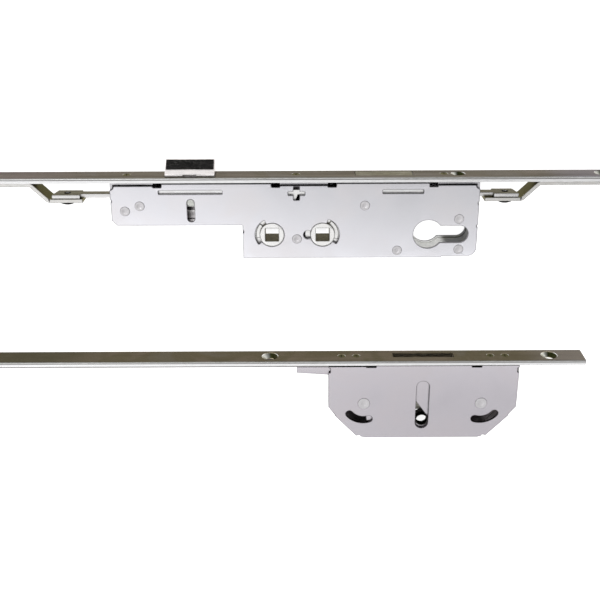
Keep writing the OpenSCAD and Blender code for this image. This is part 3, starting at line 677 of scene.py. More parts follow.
@dataclass(frozen=True)
class FibrePad:
    """Rough black friction pad with a few paler fibres."""

    name: str = "fibre_pad"
    black: Colour = (0.003, 0.003, 0.003)
    soot: Colour = (0.014, 0.013, 0.013)
    fibre: Colour = (0.22, 0.21, 0.20)
    grit_mm: float = 0.3
    grit_span: Span = (0.35, 0.7)
    strand_mm: float = 0.18
    strand_ramp: Ramp = (0.60, 0.74, 0.0, 0.8)
    rough_ramp: Ramp = (0.3, 0.7, 0.85, 1.0)
    mirror: float = 0.12
    relief_mm: float = 0.25

    def material(self) -> bpy.types.Material:
        """Builds the material.

        Returns:
            The finished material.
        """
        graph = ShaderGraph(self.name)
        grit = graph.noise(self.grit_mm, detail=6.0)
        strands = graph.noise(self.strand_mm, Grain.ALONG_X, detail=2.0, warp=2.5)
        tone = graph.blend(graph.spread(grit, *self.grit_span), self.black, self.soot)
        tone = graph.blend(graph.spread(strands, *self.strand_ramp), tone, self.fibre)
        roughness = graph.spread(grit, *self.rough_ramp)
        graph.feed(self.mirror, graph.shader.inputs["Specular IOR Level"])
        return graph.finish(tone, roughness, 0.0, graph.bump(grit, self.relief_mm))


@dataclass(frozen=True)
class BoreWall:
    """Wall of the cylinder hole: pale where the hole is round, and painted dark along its stem, as
    blotchy shade.
    """

    name: str
    split_at: float
    split_mm: Span = (-1.5, 3.0)
    pale: Colour = (0.74, 0.74, 0.72)
    smudge: Colour = (0.55, 0.55, 0.53)
    # The two dark tones below are painted shade along the stem, in blotches.
    stem_shade: Colour = (0.017, 0.017, 0.016)
    shade_marks: Colour = (0.034, 0.035, 0.015)
    grain_mm: float = 0.5
    grain_span: Span = (0.35, 0.65)
    cloud_mm: float = 9.0
    cloud_span: Span = (0.45, 0.6)
    gloss_ramp: Ramp = (0.3, 0.7, 0.38, 0.5)
    metallic: float = 0.25

    def material(self) -> bpy.types.Material:
        """Builds the material.

        Returns:
            The finished material.
        """
        graph = ShaderGraph(self.name)
        grain = graph.noise(self.grain_mm, Grain.ALONG_X, detail=3.0)
        cloud = graph.noise(self.cloud_mm, detail=2.0, warp=0.6)
        pale = graph.blend(graph.spread(grain, *self.grain_span), self.smudge, self.pale)
        # Along the stem the wall is painted dark, as shade, in blotches.
        stem_shade = graph.blend(graph.spread(cloud, *self.cloud_span), self.stem_shade, self.shade_marks)
        start, end = (self.split_at + reach * MM for reach in self.split_mm)
        tone = graph.blend(graph.spread(graph.along(Axis.X), start, end), pale, stem_shade)
        return graph.finish(tone, graph.spread(grain, *self.gloss_ramp), self.metallic)


@dataclass(frozen=True)
class PaleFloor:
    """Plain pale floor with a barely visible grain, lit a little from below as a light table is."""

    name: str = "pale_floor"
    light: Colour = (0.60, 0.60, 0.60)
    shade: Colour = (0.585, 0.585, 0.585)
    grain_mm: float = 3.0
    grain_span: Span = (0.3, 0.7)
    smooth: float = 0.7
    rough: float = 0.8
    glow: float = 1.5

    def material(self) -> bpy.types.Material:
        """Builds the material.

        Returns:
            The finished material.
        """
        graph = ShaderGraph(self.name)
        grain = graph.noise(self.grain_mm, detail=2.0)
        tone = graph.blend(graph.spread(grain, *self.grain_span), self.shade, self.light)
        graph.feed(tone, graph.shader.inputs["Emission Color"])
        graph.feed(self.glow, graph.shader.inputs["Emission Strength"])
        roughness = graph.spread(grain, *self.grain_span, self.smooth, self.rough)
        return graph.finish(tone, roughness, 0.0)


MAIN_TONES = StripTones(
    olive=(0.044, 0.041, 0.029), umber=(0.027, 0.024, 0.016), rose=(0.050, 0.043, 0.037),
    slate=(0.048, 0.047, 0.045), left=(0.052, 0.038, 0.046), right=(0.095, 0.093, 0.125),
    wall=(0.044, 0.041, 0.029), sheen=(0.76, 0.71, 0.645),
)
# The hook strip's wall tone is painted light, as light falling on its openings' walls that face up.
HOOK_TONES = StripTones(
    olive=(0.056, 0.045, 0.025), umber=(0.034, 0.027, 0.015), rose=(0.068, 0.052, 0.038),
    slate=(0.058, 0.051, 0.040), left=(0.010, 0.010, 0.003), right=(0.105, 0.092, 0.090),
    wall=(0.50, 0.44, 0.31), sheen=(0.93, 0.88, 0.76),
)
SCREW = MetalFinish(
    "oiled_screw", light=(0.16, 0.15, 0.10), dark=(0.07, 0.067, 0.04), tint=(0.11, 0.105, 0.07),
    side_shading=(0.052, 0.050, 0.031), grain_mm=0.3, cloud_mm=2.0, smooth=0.25, rough=0.45,
    relief_mm=0.01, streak=0.3, shade_reach_mm=0.5, sheen=(0.7, 0.66, 0.5),
)
ZINC = MetalFinish(
    "zinc_plate", light=(0.79, 0.785, 0.825), dark=(0.765, 0.76, 0.80), tint=(0.77, 0.75, 0.775),
    side_shading=(0.055, 0.05, 0.058), grain=Grain.ALONG_X, grain_mm=0.12, cloud_mm=26.0, smooth=0.16,
    rough=0.24, relief_mm=0.001, outline_mm=0.6,
)
RIM_ZINC = replace(
    ZINC, name="rim_zinc", light=(0.66, 0.655, 0.68), dark=(0.58, 0.57, 0.60),
    tint=(0.62, 0.60, 0.62), side_shading=(0.70, 0.69, 0.71), cloud_mm=20.0, smooth=0.2, rough=0.3,
    shade_reach_mm=2.2, outline_mm=0.0,
)
HOOK_ZINC = replace(
    ZINC, name="hook_zinc", light=(0.645, 0.615, 0.66), dark=(0.615, 0.588, 0.63),
    tint=(0.61, 0.572, 0.602), side_shading=(0.06, 0.054, 0.058), cloud_mm=30.0, outline_mm=0.5,
)
# The tray's tones are painted dark, as the shade in the notches and gaps where it shows round the hook
# cover.
TRAY_ZINC = replace(
    ZINC, name="tray_zinc", light=(0.34, 0.32, 0.32), dark=(0.24, 0.225, 0.225),
    tint=(0.28, 0.26, 0.26), side_shading=(0.52, 0.50, 0.52), cloud_mm=12.0, smooth=0.3, rough=0.45,
    painted_shade=(0.13, 0.115, 0.115), outline_mm=0.0,
)
INNER_ZINC = MetalFinish(
    "inner_zinc", light=(0.93, 0.93, 0.93), dark=(0.84, 0.84, 0.84), tint=(0.88, 0.87, 0.86),
    side_shading=(0.22, 0.21, 0.20), grain_mm=0.3, cloud_mm=8.0, smooth=0.25, rough=0.4, relief_mm=0.004,
    shade_reach_mm=0.7,
)
RIVET = MetalFinish(
    "rivet_zinc", light=(0.71, 0.695, 0.715), dark=(0.56, 0.55, 0.56), tint=(0.63, 0.61, 0.625),
    side_shading=(0.03, 0.028, 0.030), grain_mm=0.35, cloud_mm=1.6, smooth=0.42, rough=0.6,
    relief_mm=0.02,
)
NICKEL = MetalFinish(
    "bright_nickel", light=(0.93, 0.925, 0.92), dark=(0.80, 0.79, 0.78), tint=(0.88, 0.87, 0.85),
    side_shading=(0.50, 0.49, 0.45), grain_mm=0.4, cloud_mm=6.0, smooth=0.18, rough=0.34,
    relief_mm=0.004,
)
LATCH_NICKEL = MetalFinish(
    "latch_nickel", light=(0.95, 0.925, 0.92), dark=(0.88, 0.86, 0.855), tint=(0.93, 0.89, 0.88),
    side_shading=(0.78, 0.73, 0.71), grain=Grain.ALONG_X, grain_mm=0.3, cloud_mm=5.0, smooth=0.24,
    rough=0.36, relief_mm=0.003, shade_reach_mm=0.8,
)
HUB = MetalFinish(
    "cast_hub", light=(0.97, 0.965, 0.96), dark=(0.84, 0.83, 0.82), tint=(0.92, 0.91, 0.90),
    side_shading=(0.030, 0.029, 0.020), grain_mm=0.35, cloud_mm=4.0, rough=0.42,
    relief_mm=0.01, shade_reach_mm=0.9, sheen=(0.8, 0.76, 0.66), outline_mm=0.6,
)
# The lift carriage and its tube pin are painted near black, as the shade inside the tube and round it.
SHADED_PIN = MetalFinish(
    "shaded_pin", light=(0.055, 0.053, 0.050), dark=(0.025, 0.024, 0.022), tint=(0.04, 0.038, 0.035),
    side_shading=(0.015, 0.015, 0.013), grain=Grain.ALONG_Z, grain_mm=0.2, cloud_mm=5.0, smooth=0.2,
    rough=0.4, relief_mm=0.004, sheen=(0.1, 0.1, 0.1),
)
ROD = MetalFinish(
    "rolled_rod", light=(0.80, 0.79, 0.80), dark=(0.66, 0.65, 0.64), tint=(0.74, 0.73, 0.72),
    side_shading=(0.060, 0.058, 0.043), grain=Grain.ALONG_X, cloud_mm=8.0, rough=0.36, shade_reach_mm=1.0,
    sheen=(0.8, 0.76, 0.66), outline_mm=0.45,
)
BAR_STEEL = replace(
    ROD, name="drawn_bar", light=(0.80, 0.79, 0.78), dark=(0.56, 0.55, 0.53),
    tint=(0.68, 0.66, 0.63), side_shading=(0.036, 0.034, 0.019), grain_mm=0.2, cloud_mm=12.0,
    sheen=(0.8, 0.76, 0.6),
)
RAIL_STEEL = replace(
    BAR_STEEL, name="hook_rail_steel", light=(0.66, 0.64, 0.65), dark=(0.52, 0.50, 0.51),
    tint=(0.58, 0.56, 0.57), painted_shade=(0.10, 0.092, 0.095),
)
# The link rivets are painted near black, as painted shade on their heads.
LINK_STEEL = MetalFinish(
    "shaded_link", light=(0.006, 0.006, 0.006), dark=(0.003, 0.003, 0.003),
    tint=(0.005, 0.0045, 0.004), side_shading=(0.004, 0.004, 0.0035), grain_mm=0.3, cloud_mm=3.0,
    smooth=0.3, rough=0.5, sheen=(0.2, 0.2, 0.2),
)
BOLT_STEEL = MetalFinish(
    "rough_bolt_steel", light=(0.42, 0.41, 0.37), dark=(0.15, 0.145, 0.125),
    tint=(0.26, 0.25, 0.21), side_shading=(0.105, 0.101, 0.080), grain=Grain.ALONG_X, grain_mm=0.35,
    cloud_mm=3.0, smooth=0.3, rough=0.5, relief_mm=0.03, streak=0.9, shade_reach_mm=0.8,
    painted_shade=(0.075, 0.069, 0.045), sheen=(0.7, 0.66, 0.56),
)
CARRIAGE = MetalFinish(
    "worn_carriage", light=(0.70, 0.705, 0.68), dark=(0.48, 0.485, 0.46), tint=(0.60, 0.61, 0.56),
    side_shading=(0.10, 0.10, 0.09), grain_mm=0.6, cloud_mm=1.5, smooth=0.3, rough=0.5, relief_mm=0.03,
    shade_reach_mm=0.8,
)
PAD = FibrePad()
FLOOR = PaleFloor()

Finish = MetalFinish | ShadedCoatStrip | BoreWall | FibrePad | PaleFloor


def corners(name: str) -> tuple[Vector, Vector]:
    """Lowest and highest corner of a CAD node's box, in metres."""
    low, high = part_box(name)
    return Vector(low), Vector(high)


def place_mesh(name: str, mesh: bmesh.types.BMesh) -> bpy.types.Object:
    """Puts a mesh into the scene.

    Args:
        name: Name of the new object.
        mesh: Its shape in the row frame, freed here.

    Returns:
        The new object.
    """
    data = bpy.data.meshes.new(name)
    mesh.to_mesh(data)
    mesh.free()
    piece = bpy.data.objects.new(name, data)
    bpy.context.scene.collection.objects.link(piece)
    return piece


def skin(mesh: bmesh.types.BMesh, rows: list[list[bmesh.types.BMVert]], closed: bool) -> None:
    """Joins rows of vertices into one solid.

    Args:
        mesh: The mesh that holds the vertices.
        rows: The rows in order, each with as many vertices as the next.
        closed: True joins the last row to the first, False caps both ends.
    """
    following = rows[1:] + rows[:1] if closed else rows[1:]
    for here, there in zip(rows, following):
        for side, corner in enumerate(here):
            after = (side + 1) % len(here)
            mesh.faces.new((corner, here[after], there[after], there[side]))
    if not closed:
        mesh.faces.new(rows[0])
        mesh.faces.new(list(reversed(rows[-1])))
    bmesh.ops.recalc_face_normals(mesh, faces=mesh.faces)


class Workshop:
    """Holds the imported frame, and dresses its nodes and the pieces made round them."""

    bevel_segments: int = 2
    bevel_from_deg: float = 35.0

    def __init__(self, frame: dict) -> None:
        """Takes the frame.
        """
        self.nodes: dict[str, bpy.types.Object] = frame["nodes"]
        self.joints: dict[str, dict] = {joint["name"]: joint for joint in frame["joints"]}
        self.made: dict[str, bpy.types.Material] = {}

    def dress(self, piece: bpy.types.Object, finish: Finish) -> None:
        """Puts one finish on a whole piece. A finish's material is built once.

        Args:
            piece: The object.
            finish: Its finish.
        """
        if finish.name not in self.made:
            self.made[finish.name] = finish.material()
        piece.data.materials.clear()
        piece.data.materials.append(self.made[finish.name])

    def dress_node(self, name: str, finish: Finish, edge_mm: float) -> None:
        """Puts a finish on a CAD node and rounds its edges.

        Args:
            name: The node.
            finish: Its finish.
            edge_mm: Width of the rounding along its sharp edges, in millimetres.
        """
        node = self.nodes[name]
        self.dress(node, finish)
        self.round_edges(node, edge_mm)
        LOG.info("dressed %s in %s", name, finish.name)

    def round_edges(self, piece: bpy.types.Object, edge_mm: float) -> None:
        """Rounds a piece's sharp edges without touching its own mesh.

        Args:
            piece: The object.
            edge_mm: Width of the rounding, in millimetres.
        """
        weld = piece.modifiers.new("weld", "WELD")
        weld.merge_threshold = WELD_DISTANCE
        bevel = piece.modifiers.new("edges", "BEVEL")
        bevel.width = edge_mm * MM
        bevel.segments = self.bevel_segments
        bevel.limit_method = "ANGLE"
        bevel.angle_limit = math.radians(self.bevel_from_deg)
        shade = piece.modifiers.new("normals", "WEIGHTED_NORMAL")
        shade.keep_sharp = False

    def add(
        self, name: str, mesh: bmesh.types.BMesh, finish: Finish, body: str, slot: str
    ) -> bpy.types.Object:
        """Makes a new piece, dresses it and lets it ride on a body.

        Args:
            name: Name of the piece.
            mesh: Its shape in the row frame, freed here.
            finish: Its finish.
            body: The CAD body that it rides on.
            slot: The record's material slot; not used.

        Returns:
            The new object.
        """
        piece = place_mesh(name, mesh)
        self.dress(piece, finish)
        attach(piece, body)
        LOG.info("made %s in %s", name, finish.name)
        return piece


@dataclass
class Group:
    """A sub-assembly, dressed and added to in a workshop."""

    shop: Workshop

    def dress(self) -> None:
        """Dresses the group's CAD nodes, if it has any."""

    def build(self) -> None:
        """Makes what the CAD model leaves out, if the group has any of it."""


@dataclass
class Faceplates(Group):
    """The two long faceplates with the screws in them."""

    screws: tuple[str, ...] = ("faceplate_screws", "hook_screws")
    plate_edge_mm: float = 0.15
    screw_edge_mm: float = 0.08

    def dress(self) -> None:
        """Dresses the plates and their screws."""
        for name, tones in (("main_faceplate", MAIN_TONES), ("hook_faceplate", HOOK_TONES)):
            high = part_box(name)[1]
            shaded_coat = ShadedCoatStrip(f"{name}_coat", high[1], high[2], tones)
            self.shop.dress_node(name, shaded_coat, self.plate_edge_mm)
        for name in self.screws:
            self.shop.dress_node(name, SCREW, self.screw_edge_mm)


@dataclass
class GearCase(Group):
    """The gearbox case: floor with folded walls, cover, riveted shanks and cylinder hole.

    The hole has a collar of sheet at each end, collar_mm wide and collar_h_mm high. Its stem is twice
    stem_mm wide, and the wall's painted shade starts stem_root_mm from the middle of the round part.
    """

    sheet_edge_mm: float = 0.3
    rivet_edge_mm: float = 0.45
    bore_edge_mm: float = 0.1
    collar_mm: float = 1.4
    collar_h_mm: float = 2.3
    stem_mm: float = 5.3
    stem_root_mm: float = 9.0
    sleeve_mm: float = 0.5
    sleeve_gap_mm: float = 0.3
    sleeve_overlap_mm: float = 0.1
    sleeve_end_deg: float = 60.0
    arc_steps: int = 24

    def dress(self) -> None:
        """Dresses the case."""
        for name, finish, edge_mm in (
            ("gearbox_floor", ZINC, self.sheet_edge_mm),
            ("gearbox_rim", RIM_ZINC, self.sheet_edge_mm),
            ("gearbox_cover", ZINC, self.sheet_edge_mm),
            ("case_rivets", RIVET, self.rivet_edge_mm),
            ("cylinder_liner", self._bore_wall(), self.bore_edge_mm),
        ):
            self.shop.dress_node(name, finish, edge_mm)

    def build(self) -> None:
        """Bends the strip of sheet that closes the cylinder hole between its two collars."""
        low, high = corners("cylinder_liner")
        centre = self._centre()
        inset = (self.collar_mm - self.sleeve_gap_mm) * MM
        radius = (high.y - low.y) / 2 - inset
        stem = (self.stem_mm + self.sleeve_gap_mm) * MM
        root = -math.asin(stem / radius)
        tip = Vector((high.x - inset - stem, centre.y))
        path = self._arc(centre, radius, -math.pi, root)
        path += self._arc(tip, stem, -math.pi / 2, math.radians(self.sleeve_end_deg))
        reach = (self.collar_h_mm - self.sleeve_overlap_mm) * MM
        band = self._band(path, low.z + reach, high.z - reach)
        self.shop.add("cylinder_sleeve", band, self._bore_wall(), "case", "bright")

    def _centre(self) -> Vector:
        """Middle of the round part of the cylinder hole, seen from above.

        Returns:
            The point, in metres.
        """
        low, high = corners("cylinder_liner")
        half = (high.y - low.y) / 2
        return Vector((low.x + half, low.y + half))

    def _bore_wall(self) -> BoreWall:
        """The finish of the cylinder hole's wall, split at the root of the stem."""
        return BoreWall("bore_wall", self._centre().x + self.stem_root_mm * MM)

    def _arc(self, centre: Vector, radius: float, start: float, end: float) -> list[Vector]:
        """Points of an arc seen from above, in even small steps.

        Args:
            centre: Its centre.
            radius: Its radius, in metres.
            start: Angle of its first point.
            end: Angle of its last point.

        Returns:
            The points.
        """
        step = (end - start) / self.arc_steps
        angles = [start + step * index for index in range(self.arc_steps + 1)]
        return [centre + radius * Vector((math.cos(angle), math.sin(angle))) for angle in angles]

    def _band(self, path: list[Vector], foot: float, top: float) -> bmesh.types.BMesh:
        """Stands a band of sheet on a path.

        Args:
            path: Points of its inner face, seen from above.
            foot: Height of its lower edge.
            top: Height of its upper edge.

        Returns:
            The band's mesh.
        """
        mesh = bmesh.new()
        rows = []
        for index, point in enumerate(path):
            before, after = path[max(index - 1, 0)], path[min(index + 1, len(path) - 1)]
            way = (after - before).normalized()
            outer = point + Vector((way.y, -way.x)) * self.sleeve_mm * MM
            rows.append([
                mesh.verts.new((spot.x, spot.y, height))
                for spot, height in ((point, foot), (point, top), (outer, top), (outer, foot))
            ])
        skin(mesh, rows, closed=False)
        return mesh


@dataclass
class HookCase(Group):
    """The hook case with its pivots."""

    sheet_edge_mm: float = 0.3
    rivet_edge_mm: float = 0.45

    def dress(self) -> None:
        """Dresses the case."""
        self.shop.dress_node("hook_tray", TRAY_ZINC, self.sheet_edge_mm)
        self.shop.dress_node("hook_cover", HOOK_ZINC, self.sheet_edge_mm)
        self.shop.dress_node("hook_pivots", RIVET, self.rivet_edge_mm)


@dataclass
class LatchSet(Group):
    """The latch with its pad, its two springs and its carriage.

    The pad's surface is split into a grid of pad_grid_mm and pushed in by up to about pad_fuzz_mm, in
    marks of the two sizes in pad_grit_mm. guide_mm is the guide block's size along X and Y.
    """

    edge_mm: float = 0.2
    pad_grid_mm: float = 0.3
    pad_split_mm: float = 2.0
    pad_cuts: int = 90
    pad_flat_deg: float = 1.0
    pad_fuzz_mm: float = 0.55
    pad_grit_mm: Span = (0.35, 0.12)
    pad_fine_share: float = 0.5
    wire_mm: float = 0.6
    coil_mm: float = 3.2
    turns: float = 8.0
    end_gap_mm: float = 0.45
    rings_per_turn: int = 24
    wire_sides: int = 10
    guide_mm: Span = (8.0, 5.2)
    guide_sunk_mm: float = 0.1

    def dress(self) -> None:
        """Dresses the metal pieces."""
        self.shop.dress_node("latch_bolt", LATCH_NICKEL, self.edge_mm)
        self.shop.dress_node("latch_carriage", CARRIAGE, self.edge_mm)

    def build(self) -> None:
        """Makes the pad, the springs and the guide block between them."""
        self._pad()
        self._springs()
        self._guide()

    def _pad(self) -> None:
        """Makes the ragged friction pad in the place of its plain solid."""
        mesh = bmesh.new()
        mesh.from_mesh(self.shop.nodes["latch_pad"].data)
        bmesh.ops.remove_doubles(mesh, verts=mesh.verts, dist=WELD_DISTANCE)
        bmesh.ops.dissolve_limit(
            mesh, angle_limit=math.radians(self.pad_flat_deg), verts=mesh.verts, edges=mesh.edges
        )
        longest = max(edge.calc_length() for edge in mesh.edges)
        cuts = int(longest / (self.pad_grid_mm * MM))
        bmesh.ops.triangulate(mesh, faces=mesh.faces)
        split = [edge for edge in mesh.edges if edge.calc_length() > self.pad_split_mm * MM]
        bmesh.ops.subdivide_edges(
            mesh, edges=split, cuts=min(cuts, self.pad_cuts), use_grid_fill=True
        )
        mesh.normal_update()
        centre = sum((vert.co for vert in mesh.verts), Vector()) / len(mesh.verts)
        for vert in mesh.verts:
            inward = (centre - vert.co).normalized()
            vert.co += inward * self._grit(vert.co) * self.pad_fuzz_mm * MM
        piece = self.shop.add("friction_pad", mesh, PAD, "latch", "pad")
        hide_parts("latch_pad")

    def _grit(self, spot: Vector) -> float:
        """How deep the pad is worn at a spot, as a share of the fuzz."""
        coarse, fine = (noise.noise(spot / (size * MM)) for size in self.pad_grit_mm)
        return abs(coarse + self.pad_fine_share * fine)

    def _guide(self) -> None:
        """Sets the guide block on the case floor between the two springs."""
        low, high = corners("latch_springs")
        foot = low.z - self.guide_sunk_mm * MM
        height = high.z - low.z + 2 * self.guide_sunk_mm * MM
        sizes = Vector((self.guide_mm[0] * MM, self.guide_mm[1] * MM, height))
        middle = ((low.x + high.x) / 2, low.y + sizes.y / 2, foot + height / 2)
        mesh = bmesh.new()
        bmesh.ops.create_cube(mesh, size=1.0)
        bmesh.ops.scale(mesh, verts=mesh.verts, vec=sizes)
        bmesh.ops.translate(mesh, verts=mesh.verts, vec=middle)
        piece = self.shop.add("latch_guide", mesh, LATCH_NICKEL, "case", "bright")
        self.shop.round_edges(piece, self.edge_mm)

    def _springs(self) -> None:
        """Winds the two springs in the place of their coarse solids."""
        low, high = corners("latch_springs")
        length = high.y - low.y
        outer = (self.coil_mm + self.wire_mm) / 2 * MM
        mesh = bmesh.new()
        for axis_x in (low.x + outer, high.x - outer):
            self._wind(mesh, Vector((axis_x, low.y, (low.z + high.z) / 2)), length)
        piece = self.shop.add("latch_coils", mesh, BOLT_STEEL, "case", "bolt_steel")
        for face in piece.data.polygons:
            face.use_smooth = True
        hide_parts("latch_springs")
        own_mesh(piece)

    def _wind(self, mesh: bmesh.types.BMesh, start: Vector, length: float) -> None:
        """Winds one coil along +Y.

        Args:
            mesh: The mesh that takes the coil.
            start: Middle of the coil's first end.
            length: Length of the coil, in metres.
        """
        radius, wire = self.coil_mm / 2 * MM, self.wire_mm / 2 * MM
        rings = []
        for step in range(int(self.turns * self.rings_per_turn) + 1):
            turn = step / self.rings_per_turn
            angle = -2 * math.pi * turn
            out = Vector((math.cos(angle), 0, math.sin(angle)))
            centre = start + out * radius + Vector((0, wire + self._climb(turn, length), 0))
            phases = [2 * math.pi * side / self.wire_sides for side in range(self.wire_sides)]
            rings.append([
                mesh.verts.new(
                    centre + out * wire * math.cos(phase) + Vector((0, wire * math.sin(phase), 0))
                )
                for phase in phases
            ])
        skin(mesh, rings, closed=False)

    def _climb(self, turn: float, length: float) -> float:
        """How far along the coil a turn lies. The first and the last turn lie close.

        Args:
            turn: The turn, counted from the coil's first end.
            length: Length of the coil, in metres.

        Returns:
            The way from the first ring, in metres.
        """
        wire = self.wire_mm * MM
        rise = wire + self.end_gap_mm * MM
        if turn < 1:
            return rise * turn
        if turn > self.turns - 1:
            return length - wire - rise * (self.turns - turn)
        pitch = (length - wire - 2 * rise) / (self.turns - 2)
        return rise + pitch * (turn - 1)


@dataclass
class Hubs(Group):
    """The two hubs that the handle's spindles turn, with the flange under each stop lobe.

    spindles pairs each hub's joint with the body that it turns.
    """

    edge_mm: float = 0.2
    flange_r_mm: float = 10.4
    flange_bore_mm: float = 7.0
    flange_z_mm: Span = (12.0, 12.8)
    flange_steps: int = 96
    spindles: tuple[tuple[str, str], ...] = (
        ("latch_spindle_turn", "latch_spindle"), ("lock_spindle_turn", "lock_spindle"),
    )

    def dress(self) -> None:
        """Dresses both hubs."""
        for name in ("latch_hub", "lock_hub"):
            self.shop.dress_node(name, HUB, self.edge_mm)

    def build(self) -> None:
        """Makes a flange for each hub, level with the foot of its stop lobe."""
        for joint, body in self.spindles:
            ring = self._ring(Vector(self.shop.joints[joint]["pos_m"]))
            self.shop.add(f"{body}_flange", ring, HUB, body, "bright")

    def _ring(self, centre: Vector) -> bmesh.types.BMesh:
        """Turns a thin ring round a hub's axis.

        Args:
            centre: A point of the axis.

        Returns:
            The ring's mesh.
        """
        foot, top = self.flange_z_mm
        profile = ((self.flange_bore_mm, foot), (self.flange_r_mm, foot),
                   (self.flange_r_mm, top), (self.flange_bore_mm, top))
        mesh = bmesh.new()
        rows = []
        for step in range(self.flange_steps):
            angle = 2 * math.pi * step / self.flange_steps
            rows.append([
                mesh.verts.new((
                    centre.x + radius * MM * math.cos(angle),
                    centre.y + radius * MM * math.sin(angle), height * MM,
                ))
                for radius, height in profile
            ])
        skin(mesh, rows, closed=True)
        return mesh


@dataclass
class DriveTrain(Group):
    """The slide inside the gearbox, its rod ends and the cranked drive bars.

    cross_mm is the middle of the cover's cross-shaped opening: along X, and along Y from the main
    faceplate's face. Inside it the slide is painted with two marks of shade, with a lane of its own
    tone between them; mark_half_mm holds half the marks' width along X and half the lane's width along
    Y.
    """

    slide_edge_mm: float = 0.1
    bar_edge_mm: float = 0.1
    rod_edge_mm: float = 0.25
    rivet_edge_mm: float = 0.15
    cross_mm: Span = (-15.35, -9.7)
    mark_half_mm: Span = (2.6, 1.2)

    def dress(self) -> None:
        """Dresses the train."""
        self.shop.dress_node("drive_slide", self._slide_zinc(), self.slide_edge_mm)
        for side in ("left", "right"):
            self.shop.dress_node(f"{side}_rod_end", ROD, self.rod_edge_mm)
            self.shop.dress_node(f"{side}_drive_bar", BAR_STEEL, self.bar_edge_mm)
        self.shop.dress_node("link_rivets", LINK_STEEL, self.rivet_edge_mm)

    def _slide_zinc(self) -> MetalFinish:
        """The slide's finish, with two marks of painted shade where the cross-shaped opening shows it.

        Returns:
            The finish.
        """
        half_x, half_y = (half * MM for half in self.mark_half_mm)
        middle_x = self.cross_mm[0] * MM
        middle_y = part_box("main_faceplate")[1][1] + self.cross_mm[1] * MM
        return replace(INNER_ZINC, shade_marks=(middle_x, half_x, middle_y, half_y))


@dataclass
class BoltWorks(Group):
    """The deadbolt and the key slide."""

    edge_mm: float = 0.2

    def dress(self) -> None:
        """Dresses both."""
        self.shop.dress_node("deadbolt", BOLT_STEEL, self.edge_mm)
        self.shop.dress_node("key_slide", ZINC, self.edge_mm)


@dataclass
class HookWorks(Group):
    """The rail, the cam plate, the lift carriage and the two hooks.

    The rail is painted with shade from its +Y side down to shade_depth_mm behind it.
    """

    edge_mm: float = 0.15
    rivet_edge_mm: float = 0.08
    carriage_edge_mm: float = 0.1
    shade_depth_mm: float = 1.35

    def dress(self) -> None:
        """Dresses the works."""
        # The rail's +Y side is painted with shade.
        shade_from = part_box("hook_rail")[1][1] - self.shade_depth_mm * MM
        self.shop.dress_node("hook_rail", replace(RAIL_STEEL, shade_from=shade_from), self.edge_mm)
        self.shop.dress_node("rail_rivets", NICKEL, self.rivet_edge_mm)
        self.shop.dress_node("cam_plate", HOOK_ZINC, self.edge_mm)
        self.shop.dress_node("lift_carriage", SHADED_PIN, self.carriage_edge_mm)
        for name in ("left_hook", "right_hook"):
            self.shop.dress_node(name, BOLT_STEEL, self.edge_mm)


@dataclass(frozen=True)
class Softbox:
    """A square lamp that faces the lock, with its place and side in metres and its power in watts."""

    name: str
    place: Sizes
    side: float
    power: float

    def hang(self) -> None:
        """Hangs the lamp."""
        light = bpy.data.lights.new(self.name, "AREA")
        light.size = self.side
        light.energy = self.power
        lamp = bpy.data.objects.new(self.name, light)
        lamp.location = self.place
        lamp.rotation_euler = (-Vector(self.place)).to_track_quat("-Z", "Y").to_euler()
        bpy.context.scene.collection.objects.link(lamp)


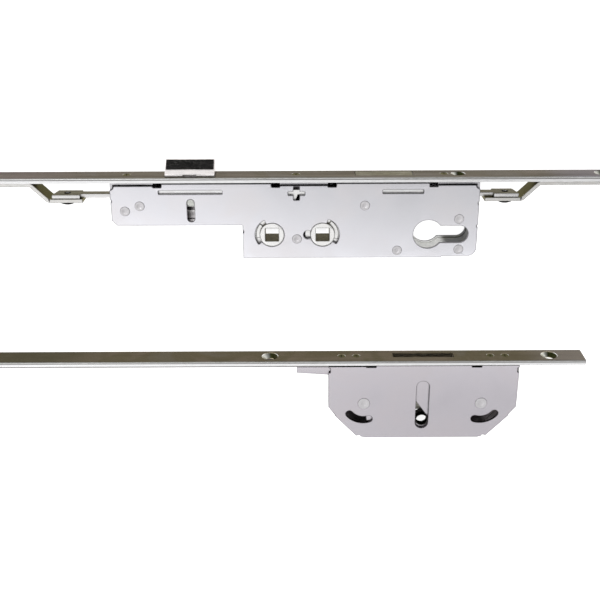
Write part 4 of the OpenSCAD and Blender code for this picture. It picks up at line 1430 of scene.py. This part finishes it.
@dataclass
class Stage(Group):
    """Floor, light and camera, set as the photograph was taken.

    The sky is even, with three brighter parts: a band beyond the lock, the part under that band, and
    the left. The spans say over which directions each comes or goes, by their Y or X, and the gains
    how bright it is.
    """

    camera_at_mm: Sizes = (9.136, 231.630, 550.123)
    camera_tilt: float = 0.3996
    camera_roll: float = -0.0042
    camera_clip: Span = (0.01, 20.0)
    lens_mm: float = 57.18
    sensor_mm: float = 36.0
    floor_size: float = 6.0
    floor_drop_mm: float = 0.05
    sky_strength: float = 1.0
    sky_base: float = 0.58
    band_rise: Span = (-0.29, -0.37)
    band_fall: Span = (-0.47, -0.40)
    band_gain: float = 0.75
    low_span: Span = (-0.485, -0.53)
    low_gain: float = 0.26
    left_span: Span = (0.12, -0.22)
    left_gain: float = 0.34
    lamps: tuple[Softbox, ...] = (
        Softbox("key_softbox", (-0.7, 1.1, 1.3), 1.2, 9.0),
        Softbox("fill_softbox", (1.0, 0.7, 1.2), 1.0, 3.0),
    )

    def build(self) -> None:
        """Builds the whole stage."""
        self._floor()
        self._sky()
        for lamp in self.lamps:
            lamp.hang()
        self._camera()
        bpy.context.scene.view_settings.view_transform = "Standard"

    def _floor(self) -> None:
        """Lays the floor just under the lock."""
        mesh = bmesh.new()
        bmesh.ops.create_grid(mesh, x_segments=1, y_segments=1, size=self.floor_size / 2)
        bmesh.ops.translate(mesh, verts=mesh.verts, vec=(0, 0, -self.floor_drop_mm * MM))
        floor = place_mesh("floor", mesh)
        self.shop.dress(floor, FLOOR)

    def _sky(self) -> None:
        """Lights the scene all round."""
        world = bpy.data.worlds.new("studio")
        bpy.context.scene.world = world
        world.use_nodes = True
        graph = NodeGraph(world.node_tree)
        across, ahead = graph.part(Coords.SKY, Axis.X), graph.part(Coords.SKY, Axis.Y)
        rise = graph.spread(ahead, *self.band_rise)
        fall = graph.spread(ahead, *self.band_fall)
        both = graph.figure(Maths.MULTIPLY, rise, fall)
        level = graph.spread(both, 0.0, 1.0, 0.0, self.band_gain)
        left = graph.spread(across, *self.left_span, 0.0, self.left_gain)
        low = graph.spread(ahead, *self.low_span, 0.0, self.low_gain)
        for part in (left, low, self.sky_base):
            level = graph.figure(Maths.ADD, level, part)
        background = world.node_tree.nodes["Background"]
        graph.feed(level, background.inputs["Color"])
        graph.feed(self.sky_strength, background.inputs["Strength"])

    def _camera(self) -> None:
        """Sets the camera at the photograph's place and angle."""
        data = bpy.data.cameras.new("camera")
        data.lens = self.lens_mm
        data.sensor_width = self.sensor_mm
        data.clip_start, data.clip_end = self.camera_clip
        camera = bpy.data.objects.new("camera", data)
        camera.matrix_world = (
            Matrix.Translation(Vector(self.camera_at_mm) * MM)
            @ Matrix.Rotation(-self.camera_tilt, 4, "X")
            @ Matrix.Rotation(self.camera_roll, 4, "Z")
        )
        bpy.context.scene.collection.objects.link(camera)
        bpy.context.scene.camera = camera


def main() -> None:
    """Builds the lock's looks in order."""
    logging.basicConfig(level=logging.INFO, format="%(name)s: %(message)s")
    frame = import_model()
    shop = Workshop(frame)
    Stage(shop).build()
    groups = [
        group(shop) for group in (
            Faceplates, GearCase, HookCase, LatchSet, Hubs, DriveTrain, BoltWorks, HookWorks,
        )
    ]
    for group in groups:
        group.dress()
    for group in groups:
        group.build()
        LOG.info("finished %s", type(group).__name__)


if __name__ == "__main__":
    main()
